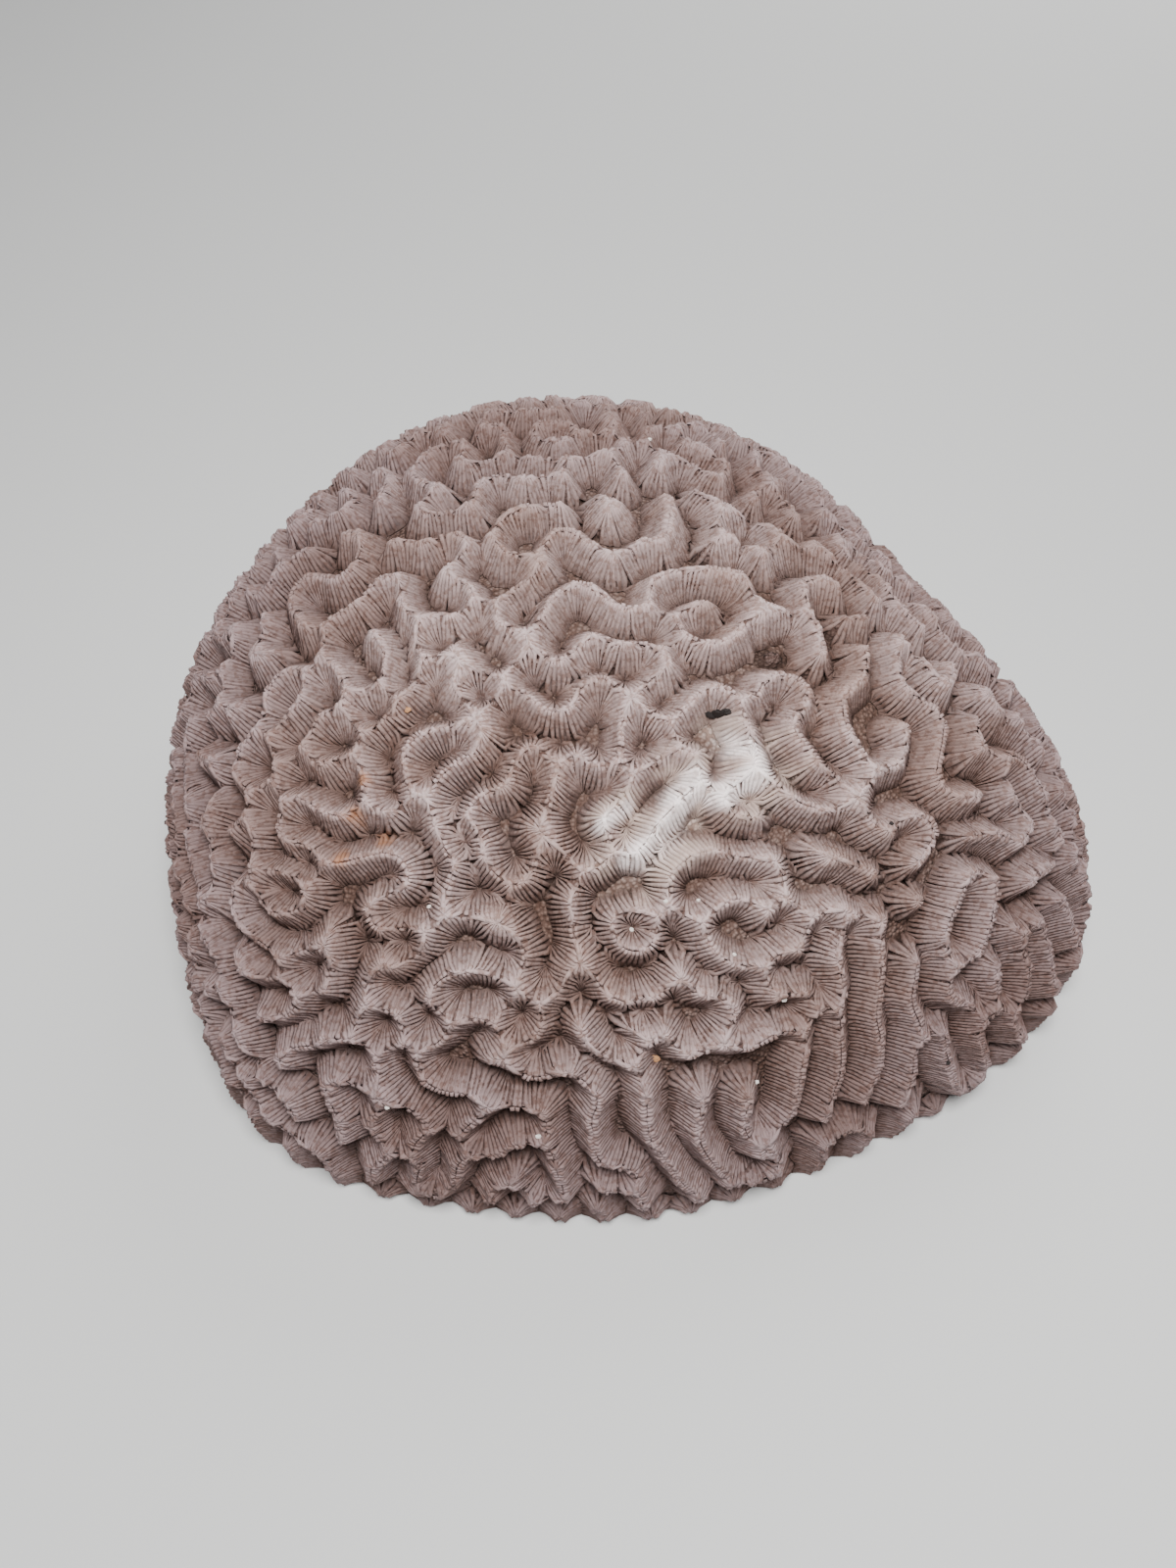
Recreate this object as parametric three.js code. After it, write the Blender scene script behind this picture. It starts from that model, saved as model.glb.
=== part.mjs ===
// Brain coral skeleton: one grown piece, domed, with a lobe on its right-hand side.
// Millimetres, +Z up, flat cut underside on z = 0, longest way along X.
// The walls wind over the dome like a maze; between them lie V-shaped valleys.
import * as THREE from 'three';

// Overall shape. The dome is described by the surface that touches every wall crest.
const DOME_TOP = 82; // height of the highest crest above the underside
const WIDEST_HEIGHT = 14; // height at which the dome is widest
const RIM_RADIUS = 87; // plain radius at the widest height
const RIM_SWELLS = [ // [azimuth in degrees, half-width in degrees, mm outwards]
  [-13, 28, 22.4], // the lobe
  [-42, 20, 3.2],
  [10, 24, -5.7],
  [150, 24, -3.3],
  [230, 20, 7.8],
  [285, 20, 1.3],
];
const FULLNESS = 2.25; // exponent of the dome's profile, 2 is an ellipse
const LOBE_SLACK = 0.24; // the profile is less full towards the lobe
const LOBE_AZIMUTH = -13;
const LOBE_SLACK_WIDTH = 43;
const APEX_SHIFT = [-3.9, 15.7]; // the top leans away from the centre of the rim
const CENTRE_SHIFT = [-9.26, -0.62]; // brings the middle of the outline onto the Z axis

// Walls and valleys.
const WALL_SPACING = 8.4; // crest to crest
const VALLEY_DEPTH = 5; // crest down to valley floor, square to the dome
const FLOOR_EDGE = 1.5; // the valley floor begins this far out from the wall's edge
const CREST_ROUNDING = 0.12; // mm2
const CREST_BREADTH = 1.35; // 1 is a sharp crest with straight flanks
const RIM_RELIEF = 0.3; // share of the valley depth that is left at the cut base
const RIM_RELIEF_HEIGHT = 16; // full depth from this height up
const RIM_WALLS = 66; // walls that meet the rim at right angles
const GROWTH_ROUNDS = 12;

// Crest lines of the walls that can be seen clearly, in chart units. They were read off by eye.
// The other walls grow between them by rule.
const WALL_ROUTES = [
  [[-33.5, -31], [-34.8, -33], [-33, -34.8], [-29.5, -35.2], [-27, -36.3], [-26.8, -38], [-29, -39.7],
   [-32, -39.5], [-34.5, -37.8], [-35.5, -35.8], [-37.5, -35.8], [-39, -38], [-38, -40.8], [-35.5, -43.2],
   [-32, -44.8], [-29, -44.2], [-27, -42.8], [-25, -42]],
  [[-28.5, -32.5], [-26.5, -32.3], [-25.3, -33.5], [-24.3, -35], [-21, -35.3], [-18, -35.2], [-16, -36.3],
   [-15.3, -38.2], [-16.5, -39.8], [-19, -39.6], [-20.8, -40.8], [-20.8, -43], [-19, -43.8], [-16.5, -43.3],
   [-14.8, -45], [-16, -46.8], [-18.5, -48], [-19.5, -49.5]],
  [[-12.5, -31], [-13, -33.5], [-12.2, -35.5], [-11, -37.5], [-11.8, -39.8], [-13.8, -41.5], [-13, -43.8],
   [-11, -43.6], [-9, -42.8], [-7, -43.2], [-5.5, -44.8], [-6.5, -46.2], [-8.5, -46]],
  [[-10, -33], [-8.8, -35], [-8.4, -37], [-7.4, -39.6], [-5, -40.8], [-3.2, -39.5], [-2.4, -37],
   [-3.5, -34.8], [-2, -33.4], [-0.8, -35.5], [0.5, -38], [2.5, -39.3], [4.3, -38], [5, -35.5], [4, -33.8],
   [6.5, -31], [8, -28.8], [9.8, -27], [12, -25.8], [13.8, -26.2], [13.8, -28.5], [12.5, -30.5], [11, -32],
   [9.5, -34], [7.8, -37]],
  [[-40.5, -43.8], [-38.5, -45.5], [-40, -46.3], [-37.5, -47], [-34, -47.3], [-32, -49], [-33, -51],
   [-35.5, -52.8], [-38, -53], [-40, -52.5]],
  [[-28.5, -50], [-28, -48], [-26, -46.5], [-25.5, -44.5]],
  [[-20, -46.5], [-22, -47.5], [-23.8, -49.5], [-24.3, -51.5], [-23, -53.5], [-20.5, -54], [-19.8, -56],
   [-22, -58.5], [-25, -60], [-26.5, -62.5], [-27, -65], [-26, -68], [-26.5, -70.2], [-24.5, -71],
   [-22.8, -73.5], [-23.5, -76.5], [-25, -78.3], [-27.5, -79.3], [-28.8, -82], [-29, -85.5], [-30.5, -89.5],
   [-33, -93.5], [-35, -97.5], [-38, -102]],
  [[-31.5, -55.5], [-30, -57], [-27.5, -57.5], [-26.3, -55.5], [-25.5, -53]],
  [[-16.5, -58.5], [-19.5, -60.5], [-21.5, -63.5], [-20, -66.5], [-17, -68.3], [-12.5, -69]],
  [[-41, -60.5], [-39.5, -57.8], [-36, -57], [-33, -57.5]],
  [[-30.5, -69], [-31, -65.5], [-33, -63.5], [-35.5, -64.5], [-36, -68], [-37, -71.5], [-38.5, -75],
   [-40, -79]],
  [[-11.5, -56], [-13.5, -56.8], [-16, -55], [-17, -52.5], [-15.5, -50.8], [-13, -49.8], [-10, -50],
   [-7.5, -51], [-6, -53], [-7, -55], [-8.5, -57.5], [-9, -60], [-10.5, -62.5]],
  [[-4.5, -48.5], [-5, -51], [-4, -53.5], [-2, -54], [-0.5, -52.5], [-0.3, -49.5]],
  [[-3.8, -54.5], [-3.5, -57.5], [-5, -59.5], [-7, -61.5], [-7.8, -64.5], [-5.5, -65.8], [-3, -64.8],
   [0, -63.5], [2, -66], [3.8, -68.5], [3.5, -71], [1.8, -73.5], [2.5, -76.5], [2.3, -80], [2.8, -83.5],
   [5, -85.8], [8, -86.5], [10.5, -87.5], [11, -90.5], [12, -94], [12.5, -99], [13, -105]],
  [[11, -41], [11, -38.7], [13, -36.9], [15.5, -36], [19, -36], [22.5, -36.3], [23.5, -38.5], [24.5, -40.5],
   [26.5, -41.5]],
  [[12, -42.5], [14, -44], [16, -43], [17.5, -41.3], [20, -40.3], [22.3, -41.2], [23, -43]],
  [[15.5, -46], [17, -48.2], [20, -49.3], [23, -48.8], [25, -47], [26, -45.5]],
  [[33, -41], [31, -39.5], [28.8, -41.3], [27.6, -44], [27.6, -47]],
  [[32, -43], [32, -46.5], [33.5, -48.7], [35, -50.5], [35.4, -53.5], [36.5, -57], [38.5, -61], [40.3, -65],
   [41.5, -70], [42.5, -75]],
  [[24, -50.5], [25.8, -53.3], [28, -51.3], [30.5, -51.5], [31.8, -54], [32, -57], [33, -61], [33.5, -65],
   [35, -70], [35.5, -74], [33.5, -77.5], [34.5, -81], [36.5, -85.5], [39, -90], [42, -95]],
  [[20.5, -60.5], [24, -59.5], [27, -57.5], [31, -57]],
  [[36, -40], [36.5, -43.5], [38.5, -46], [40, -50], [41.5, -54.5], [44, -57.5], [46.5, -62], [47.8, -66],
   [48.3, -71]],
  [[0.3, -41.3], [1.3, -44], [1.2, -46.5], [3, -48.6], [3.2, -51], [4.5, -53.3], [7.5, -54.2], [10.5, -53.5],
   [12, -51.5], [13, -49], [14.5, -50.8], [15.5, -53], [18, -52.3], [20.5, -54], [20.8, -56.5], [18.5, -59],
   [16.5, -61], [14, -61.3], [12.5, -59], [11.5, -56.5]],
  [[4.5, -44.5], [6, -47.3], [8.5, -47.6], [10.3, -46], [10, -43.8], [8, -43.2]],
  [[1, -56.5], [1.5, -59], [3.5, -61.5], [6, -63.2], [9, -63], [9.5, -60.5], [9, -58], [6.5, -57.8]],
  [[-10, -32.8], [-9.2, -31.3], [-7, -30.6], [-5, -30.8], [-4.8, -28.5], [-3.8, -26.8], [-2.3, -26.2],
   [-1.2, -27.5], [-1.5, -29.8], [-1.4, -31.5], [0, -30], [0, -28], [1.5, -26.8], [2.7, -28], [3.8, -29],
   [5.3, -28.4], [6.2, -26.5], [6.3, -23.5], [6, -20.8], [4.8, -19.2], [3, -19.2], [1.7, -20.7], [1, -22.6],
   [-0.5, -23.3], [-2, -22.8], [-3, -21.2], [-5, -20.2], [-6.8, -21], [-7, -23], [-6.8, -25], [-8.8, -26.8],
   [-11.5, -27.8], [-12.5, -29.8], [-14.6, -30.3], [-15.2, -28], [-15, -25.2], [-14, -23.7], [-11.5, -23.3],
   [-9.3, -24.3], [-8.7, -22.5], [-9, -20.3], [-10.3, -19], [-11, -17], [-11.2, -15], [-10, -14.3],
   [-9, -15.5], [-8.3, -17.5], [-7, -19], [-5, -18.5], [-3.8, -17], [-4, -14], [-6, -12.5], [-6, -10.3],
   [-4.5, -8.8], [-2.8, -8], [-2.5, -6], [-3.7, -4.3], [-5.5, -4], [-6.7, -3], [-7.2, -1], [-6.5, 1],
   [-4.5, 2.4], [-2, 2.2], [0, 2.5]],
  [[-1.2, -6.5], [-1.7, -4.5], [-1.5, -2.3], [0, -0.7], [1.5, -1.3], [2.2, -3], [3.5, -2.8], [4.5, -4.3],
   [5.5, -4], [6.5, -2.2], [8.7, -1.8], [9.8, 0], [11.5, 2.5], [11.8, 5]],
  [[19, -22.5], [17.6, -21.3], [17, -19.2], [15.5, -18.1], [13.5, -19.3], [12, -21.5], [11, -23.2],
   [9.3, -23.2], [8.2, -21.5], [8, -19.8], [9.3, -18.3], [10.8, -17.2], [10, -15], [7.8, -15.2],
   [6.3, -16.2], [5, -15.2], [3.2, -14.8], [1.8, -16.2], [0.3, -18.2], [-1.5, -17.8], [-2.3, -15.3],
   [-2, -12.5], [-0.8, -9.8], [1, -8.4], [3.5, -9], [5.3, -10.8], [7, -11.2], [8.5, -10.6], [8.3, -8.3],
   [8.7, -6.2], [10.3, -4.9], [13, -4.5], [15.6, -4.6], [16.5, -6.5], [16.4, -9], [15.5, -12], [13.5, -13.8],
   [11.5, -13], [10.7, -10.8], [11.6, -9], [13.6, -8.7]],
  [[20, -31.3], [18, -32.3], [16.3, -31.3], [16.3, -29.5], [18.5, -28.5], [19.9, -27], [19.5, -25],
   [17.5, -25.8]],
  [[20, -19.8], [18.8, -18], [19, -16], [21, -15], [22.6, -15.8], [22.8, -18], [22, -20]],
  [[20.7, -27], [22, -28.5], [24, -28.7], [26, -29], [28.3, -28.3], [28.3, -26], [27, -24.8], [24.7, -24.5],
   [24, -22.5], [22, -21.5]],
  [[28.8, -24], [28.8, -21.5], [27, -20], [26, -18], [25.5, -15.5], [27, -13.5], [28, -11], [27.5, -9.5]],
  [[26, -2.8], [23.5, -3], [21.5, -4.3], [21.8, -7], [22.7, -9.5], [23, -12]],
  [[19.8, -8], [18.5, -6.8], [17.9, -9]],
  [[32, -7], [31.5, -9.5], [31, -11.5], [32.5, -13], [35.5, -13.8], [37, -16], [36.8, -18.5], [36.7, -21],
   [38, -22.8], [40.5, -23], [43, -22]],
  [[31.5, -29], [30.5, -26.5], [30, -24.5], [31, -22.5], [33, -21], [33.5, -19], [32.5, -17]],
  [[37.5, -32], [38.5, -29], [38.3, -26.8], [36.5, -26.3], [34.7, -27.5], [34.3, -30]],
  [[38.8, -8], [37.5, -11], [35.5, -10.5], [34.8, -8.5]],
  [[-8.3, -10], [-9.8, -11.4], [-11.5, -11], [-13.8, -11.5], [-15.5, -10.5], [-16.5, -8.8]],
  [[-8.2, -9.5], [-8.4, -8], [-10.3, -7.3], [-11.9, -6.3], [-11, -4.6], [-9.8, -2.8], [-10.3, -1],
   [-12, -0.7], [-14.7, -2], [-17, -0.8], [-19, -1]],
  [[-9.5, 7.5], [-9.8, 5], [-10.3, 3], [-12.5, 3], [-14.7, 3], [-16, 4.3], [-15.5, 6.5]],
  [[-17, -5.8], [-19, -5.3], [-20.3, -7], [-22, -8.8], [-24.8, -9.3], [-25.8, -11.5], [-25, -14],
   [-23, -15.5], [-21.5, -17.3], [-19, -18.5], [-17, -18.2], [-16.3, -16], [-17, -13.3], [-19, -12.2]],
  [[-14, -13], [-13.2, -15], [-13.5, -18], [-15.5, -19.7], [-16.3, -21.4], [-18.3, -22.2], [-20.3, -20.8],
   [-22, -19.8], [-24, -19.8], [-24.8, -21.3], [-26.7, -22.6], [-25.5, -24.2], [-23.5, -25], [-21, -24.3],
   [-19.3, -24], [-18.9, -26.5], [-19, -29.5], [-17, -31.3]],
  [[-25, 3], [-23, 2], [-22.7, -0.5], [-22.8, -3.3], [-24.5, -4], [-27, -3], [-29.5, -2], [-31, -3.3],
   [-31.5, -5.5], [-29.8, -7.3], [-28.5, -9.3]],
  [[-33, -10.5], [-35, -11.3], [-37, -9.8], [-35.5, -8.3], [-34.5, -6.5], [-35.5, -4.8]],
  [[-33, -17.8], [-32.8, -15.5], [-31, -14], [-28, -14.3], [-27, -16], [-27, -17.8], [-28.5, -19],
   [-30.5, -20], [-32.3, -21.5], [-31, -23], [-29, -24.2], [-30, -26], [-32.5, -26.3], [-35, -26],
   [-37.5, -24.5], [-37.3, -22.3], [-36, -20.5], [-34, -20]],
  [[-33.5, -31], [-33.5, -29.5], [-35.5, -28.8], [-37.8, -29.8]],
  [[-29.5, -32], [-29.8, -30], [-28.5, -28], [-26.5, -27.3], [-25, -28.8], [-23.5, -30], [-21.5, -30.5]],
  [[45.5, -31], [45.5, -34], [45, -38], [45.5, -40.5], [47.5, -42.5], [49.5, -45], [50, -47.5], [52, -49.3],
   [54, -49.5], [56, -49], [58.5, -49.5], [61, -52], [65, -55], [69, -57.5], [74, -60.5], [79, -64],
   [84, -68]],
  [[49, -31], [50.8, -34.5], [52, -37.5], [52.5, -41], [51.3, -43.3]],
  [[43, -44.5], [44.5, -47], [44.8, -50], [47, -52.3], [50, -54.3], [51.5, -57.5], [53.5, -61], [56, -64.5],
   [57.5, -68], [59, -72]],
  [[55, -54], [58, -58], [61, -60.5], [65, -62.5], [70, -65.5], [75, -68.5], [80, -71]],
  [[57, -41.5], [58, -43.5], [61, -46.5], [64, -48.5], [67, -50], [71, -51.5], [76, -53.5], [82, -55]],
  [[56, -36.5], [59.5, -38], [62, -39.5], [65.5, -41], [68, -43.5], [70.5, -46]],
  [[61, -34], [65, -35.5], [69, -38], [73, -40.3], [77, -42], [82, -43.5]],
  [[65, -30.5], [70, -31.5], [75, -33.5], [80, -34.5]],
  [[9.5, -67], [10.5, -72], [11, -75], [11.8, -78], [13.5, -81], [15, -84.5], [17, -88], [19, -92],
   [21.5, -95], [24, -98], [26.5, -103]],
  [[18.5, -69], [19, -73], [19, -77], [20, -80.5], [22, -84], [24.5, -87.5], [28, -92], [31, -97]],
  [[25, -70], [26.5, -74], [28, -78], [30, -82.5], [32, -87], [34, -92], [37, -98]],
  [[2.7, -92.5], [5, -94.5], [8, -95]],
  [[-4.2, -73], [-4.2, -78], [-4, -83], [-3.8, -87], [-3.8, -91], [-3.8, -99]],
  [[-4.5, -71.3], [-7.5, -71.2], [-10.5, -71], [-13.5, -72.3], [-16, -74.5], [-18.5, -77.5], [-19.6, -81],
   [-18.5, -84], [-15.5, -84], [-12.5, -82], [-10, -79.8], [-7, -79.3], [-4.8, -79.6]],
  [[-10.5, -90.3], [-13, -91], [-15.5, -92.5], [-17.5, -95], [-19, -98.5], [-20, -103]],
  [[-29, -70.5], [-31.5, -72], [-33.5, -75.5], [-33.5, -79.5], [-34.5, -83], [-36, -87], [-38, -86.8],
   [-40, -88], [-42, -91.5], [-44, -96]],
  [[-22, -86], [-23.5, -90], [-25, -94], [-28, -98], [-31, -103]],
  [[-11, -96], [-10.8, -103]],
  [[-13.5, 7.5], [-15, 8.5], [-17, 10], [-18.3, 12], [-18.6, 13.8], [-17.6, 15.2], [-16.2, 15.6],
   [-15.9, 17], [-15, 17.6], [-14, 17]],
  [[-13, 17.6], [-12, 17], [-11.2, 15.6], [-12.4, 14.6], [-12.9, 13.2], [-12.2, 12], [-10.5, 11.9],
   [-8.5, 12.1], [-6.8, 12.2], [-6.2, 13.8], [-6.8, 16], [-6.9, 18.8], [-7.6, 20.6], [-9.3, 21.1],
   [-10.4, 20]],
  [[-9.6, 7.5], [-8.2, 8.8], [-6.2, 8.8], [-5, 7.6], [-3.8, 7], [-2.5, 8], [-1.2, 8.8], [0.3, 7.8]],
  [[-4, 11.4], [-2, 11.6], [0, 11.4], [1.8, 11], [3.2, 12], [4.6, 13.4], [5.6, 12.4], [6.2, 10.5],
   [6.6, 8.5]],
  [[-3.4, 16.5], [-3.7, 18.6], [-3.2, 20.2], [-1.8, 20.8], [0, 20.6], [1.1, 19.8], [1.2, 18.2]],
  [[-1.5, 15], [0.2, 15.2], [1, 16.8], [2.2, 17.8], [3.8, 17.3], [5, 18.2], [5, 20.3], [4.5, 22.4],
   [4.9, 24.4], [5.9, 25], [6.8, 23.8], [7, 20.5], [6.6, 17.5], [6.4, 15]],
  [[-10.8, 23.4], [-10.3, 25.5], [-10.4, 28.2], [-9, 27], [-7.4, 25.6], [-5, 24.9], [-2.8, 25.3],
   [-0.8, 25]],
  [[0.2, 27.5], [0.6, 29.2], [2.8, 29.2], [4.8, 28.2], [5.2, 26.4]],
  [[7.2, 28.8], [8.6, 28.8], [9.6, 27], [10.2, 25]],
  [[7.2, 13.6], [7.6, 15.5], [8.6, 16.3], [9.8, 16.2], [9.8, 18], [9.5, 20.4], [10.4, 22], [12, 21.6],
   [13.5, 22.3], [13.8, 24], [14.5, 25], [14.7, 22], [14.4, 19], [13.4, 17.2]],
  [[10.2, 11.6], [10.4, 13.4], [10.8, 15], [11.6, 13.6], [11.6, 11.6]],
  [[12.8, 14.2], [14.2, 13.6], [15.6, 12.6], [17.2, 11.6], [18.8, 11.2], [19.2, 13], [19.4, 15.4],
   [18, 16.6], [16.4, 16.9], [16.8, 19]],
  [[16.8, 27.4], [17.5, 25], [18.6, 22.8], [19.4, 20.4]],
  [[24.5, 22.5], [24, 20], [24.3, 17.5], [24.8, 15.8], [24, 13.4], [23, 11.4], [22, 9.4]],
  [[27.8, 17.5], [26.6, 15.5], [26.2, 13], [26.8, 10.6], [26.8, 8.4]],
  [[-14.8, 26], [-14.6, 23.5], [-15.2, 21.4], [-16.4, 23], [-17.8, 24.4], [-19, 26.2], [-20, 24.5],
   [-20.8, 22], [-22, 20.6], [-23.2, 20.8]],
  [[-24.6, 15.6], [-23, 16.4], [-22.2, 15], [-21.6, 12.6], [-21.9, 10.4], [-22, 8]],
  [[-28.4, 14.6], [-27, 13], [-25.8, 10.6], [-26.4, 8.6], [-28.4, 8.6], [-30.4, 9.2], [-31.6, 8.8]],
];

// Mesh of the piece.
const POINT_GAP = 2.75; // least distance between neighbouring points, mm
const RIM_POINTS = 252;

// The dome is worked out on a flat chart: distance from the chart's middle is
// 100 times the tangent of half the angle from the vertical.
const CHART_REACH = 127.2;
const CHART_STEP = 0.6;
const CHART_CUT = 123.4; // chart distance of the cut underside's edge
const CHART_SIZE = Math.round((2 * CHART_REACH) / CHART_STEP) + 1;

const DEGREE = Math.PI / 180;

function bell(azimuth, at, width) {
  const turn = ((azimuth - at + 180) % 360 + 360) % 360 - 180;
  return Math.exp(-((turn / width) ** 2));
}

function rimRadius(azimuth) {
  let radius = RIM_RADIUS;
  for (const [at, width, out] of RIM_SWELLS) radius += out * bell(azimuth, at, width);
  return radius;
}

function domePoint(cx, cy) {
  const polar = 2 * Math.atan(Math.hypot(cx, cy) / 100);
  const azimuth = Math.atan2(cy, cx) / DEGREE;
  const s = Math.sin(polar);
  const c = Math.cos(polar);
  const n = FULLNESS - LOBE_SLACK * bell(azimuth, LOBE_AZIMUTH, LOBE_SLACK_WIDTH);
  const k = (Math.abs(s) ** n + Math.abs(c) ** n) ** (-1 / n);
  const radius = rimRadius(azimuth) * k * s;
  const rise = k * c;
  const lean = Math.min(Math.max(rise, 0), 1);
  return new THREE.Vector3(
    radius * Math.cos(azimuth * DEGREE) + APEX_SHIFT[0] * lean,
    radius * Math.sin(azimuth * DEGREE) + APEX_SHIFT[1] * lean,
    WIDEST_HEIGHT + (DOME_TOP - WIDEST_HEIGHT) * rise,
  );
}

function domeTangents(cx, cy) {
  const e = 0.05;
  const along = domePoint(cx + e, cy).sub(domePoint(cx - e, cy)).divideScalar(2 * e);
  const across = domePoint(cx, cy + e).sub(domePoint(cx, cy - e)).divideScalar(2 * e);
  return [along, across];
}

function domeNormal(cx, cy) {
  const [along, across] = domeTangents(cx, cy);
  return along.cross(across).normalize();
}

function chartAt(index) {
  return index * CHART_STEP - CHART_REACH;
}

// Area in mm2 of one chart cell, for every cell.
function cellAreas() {
  const areas = new Float64Array(CHART_SIZE * CHART_SIZE);
  for (let i = 0; i < CHART_SIZE; i++) {
    for (let j = 0; j < CHART_SIZE; j++) {
      const [along, across] = domeTangents(chartAt(j), chartAt(i));
      areas[i * CHART_SIZE + j] = along.cross(across).length() * CHART_STEP * CHART_STEP;
    }
  }
  return areas;
}

// Spreads a field over the dome as heat would spread; amount is in mm2.
function spread(field, areas, amount) {
  const n = CHART_SIZE;
  let least = Infinity;
  for (const a of areas) least = Math.min(least, a);
  const steps = Math.ceil(amount / (0.22 * least));
  const rate = amount / steps;
  let now = Float64Array.from(field);
  let next = new Float64Array(n * n);
  for (let step = 0; step < steps; step++) {
    for (let i = 1; i < n - 1; i++) {
      for (let p = i * n + 1; p < i * n + n - 1; p++) {
        const around = now[p - n] + now[p + n] + now[p - 1] + now[p + 1];
        next[p] = now[p] + (rate / areas[p]) * (around - 4 * now[p]);
      }
    }
    for (let j = 0; j < n; j++) {
      next[j] = next[n + j];
      next[(n - 1) * n + j] = next[(n - 2) * n + j];
    }
    for (let i = 0; i < n; i++) {
      next[i * n] = next[i * n + 1];
      next[i * n + n - 1] = next[i * n + n - 2];
    }
    [now, next] = [next, now];
  }
  return now;
}

function speckle(i, j) {
  const v = Math.sin(i * 12.9898 + j * 78.233) * 43758.5453;
  return v - Math.floor(v);
}

// Lowers the chart distances in nearest to those from one straight stretch, as far as reach.
function measureFrom(nearest, [x0, y0], [x1, y1], reach) {
  const n = CHART_SIZE;
  const first = (low) => Math.max(0, Math.floor((low + CHART_REACH) / CHART_STEP));
  const last = (high) => Math.min(n, Math.floor((high + CHART_REACH) / CHART_STEP) + 2);
  const dx = x1 - x0;
  const dy = y1 - y0;
  const length2 = Math.max(dx * dx + dy * dy, 1e-12);
  for (let i = first(Math.min(y0, y1) - reach); i < last(Math.max(y0, y1) + reach); i++) {
    for (let j = first(Math.min(x0, x1) - reach); j < last(Math.max(x0, x1) + reach); j++) {
      const x = chartAt(j) - x0;
      const y = chartAt(i) - y0;
      const t = Math.min(Math.max((x * dx + y * dy) / length2, 0), 1);
      const away = Math.hypot(x - t * dx, y - t * dy);
      nearest[i * n + j] = Math.min(nearest[i * n + j], away);
    }
  }
}

function routeDistances() {
  const nearest = new Float64Array(CHART_SIZE * CHART_SIZE).fill(1e3);
  for (const route of WALL_ROUTES) {
    for (let k = 1; k < route.length; k++) measureFrom(nearest, route[k - 1], route[k], 14);
  }
  return nearest;
}

// Chart distance from every cell to the nearest place where the field is 0.
function edgeDistances(field) {
  const n = CHART_SIZE;
  const nearest = new Float64Array(n * n).fill(1e3);
  const cut = (p, q, from, to) => {
    const t = field[p] / (field[p] - field[q]);
    return [from[0] + t * (to[0] - from[0]), from[1] + t * (to[1] - from[1])];
  };
  for (let i = 0; i < n - 1; i++) {
    for (let j = 0; j < n - 1; j++) {
      const cells = [i * n + j, i * n + j + 1, (i + 1) * n + j + 1, (i + 1) * n + j];
      const high = cells.map((p) => field[p] > 0);
      if (high.every((h) => h === high[0])) continue;
      const x = [chartAt(j), chartAt(j + 1), chartAt(j + 1), chartAt(j)];
      const y = [chartAt(i), chartAt(i), chartAt(i + 1), chartAt(i + 1)];
      const cuts = [];
      for (let k = 0; k < 4; k++) {
        const m = (k + 1) % 4;
        if (high[k] !== high[m]) cuts.push(cut(cells[k], cells[m], [x[k], y[k]], [x[m], y[m]]));
      }
      if (cuts.length === 2) {
        measureFrom(nearest, cuts[0], cuts[1], 8);
        continue;
      }
      const middle = cells.reduce((sum, p) => sum + field[p], 0) > 0;
      const pairs = middle === high[0] ? [[0, 1], [2, 3]] : [[0, 3], [1, 2]];
      for (const [from, to] of pairs) measureFrom(nearest, cuts[from], cuts[to], 8);
    }
  }
  return nearest;
}

// Wall field: how far in from the edge of a wall, in mm, less than 0 in a valley.
function growWalls(areas) {
  const n = CHART_SIZE;
  const k2 = ((2 * Math.PI) / WALL_SPACING) ** 2;
  const fine = 0.549 / k2;
  const coarse = 3 * fine;
  const teeth = new Float64Array(n * n);
  const held = new Float64Array(n * n);
  const routes = routeDistances();
  let field = new Float64Array(n * n);
  for (let i = 0; i < n; i++) {
    for (let j = 0; j < n; j++) {
      const cx = chartAt(j);
      const cy = chartAt(i);
      const p = i * n + j;
      const away = (routes[p] * Math.sqrt(areas[p])) / CHART_STEP;
      const room = (0.85 * WALL_SPACING - away) / (0.25 * WALL_SPACING);
      const traced = Math.min(Math.max(room, 0), 1);
      const phase = (Math.min(away, WALL_SPACING / 2) * 2 * Math.PI) / WALL_SPACING;
      held[p] = Math.cos(phase) * traced;
      const nearRim = Math.min(Math.max((Math.hypot(cx, cy) - 96) / 12, 0), 1);
      teeth[p] = Math.cos(RIM_WALLS * Math.atan2(cy, cx)) * nearRim * (1 - traced);
      field[p] = speckle(i, j) * 2 - 1;
    }
  }
  for (let round = 0; round < GROWTH_ROUNDS; round++) {
    const a = spread(field, areas, fine);
    const b = spread(a, areas, coarse - fine);
    for (let p = 0; p < n * n; p++) {
      field[p] = Math.tanh(6 * (a[p] - b[p]) + 0.5 * teeth[p] + 0.8 * held[p]);
    }
  }
  const edges = edgeDistances(field);
  const inward = field.map((value, p) => {
    const away = (edges[p] * Math.sqrt(areas[p])) / CHART_STEP;
    return Math.sign(value) * Math.min(away, (1.4 * WALL_SPACING) / 4);
  });
  return spread(inward, areas, CREST_ROUNDING);
}

function readField(field, cx, cy) {
  const x = (cx + CHART_REACH) / CHART_STEP;
  const y = (cy + CHART_REACH) / CHART_STEP;
  const j = Math.floor(x);
  const i = Math.floor(y);
  const u = x - j;
  const v = y - i;
  const p = i * CHART_SIZE + j;
  const low = field[p] * (1 - u) + field[p + 1] * u;
  const high = field[p + CHART_SIZE] * (1 - u) + field[p + CHART_SIZE + 1] * u;
  return low * (1 - v) + high * v;
}

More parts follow.
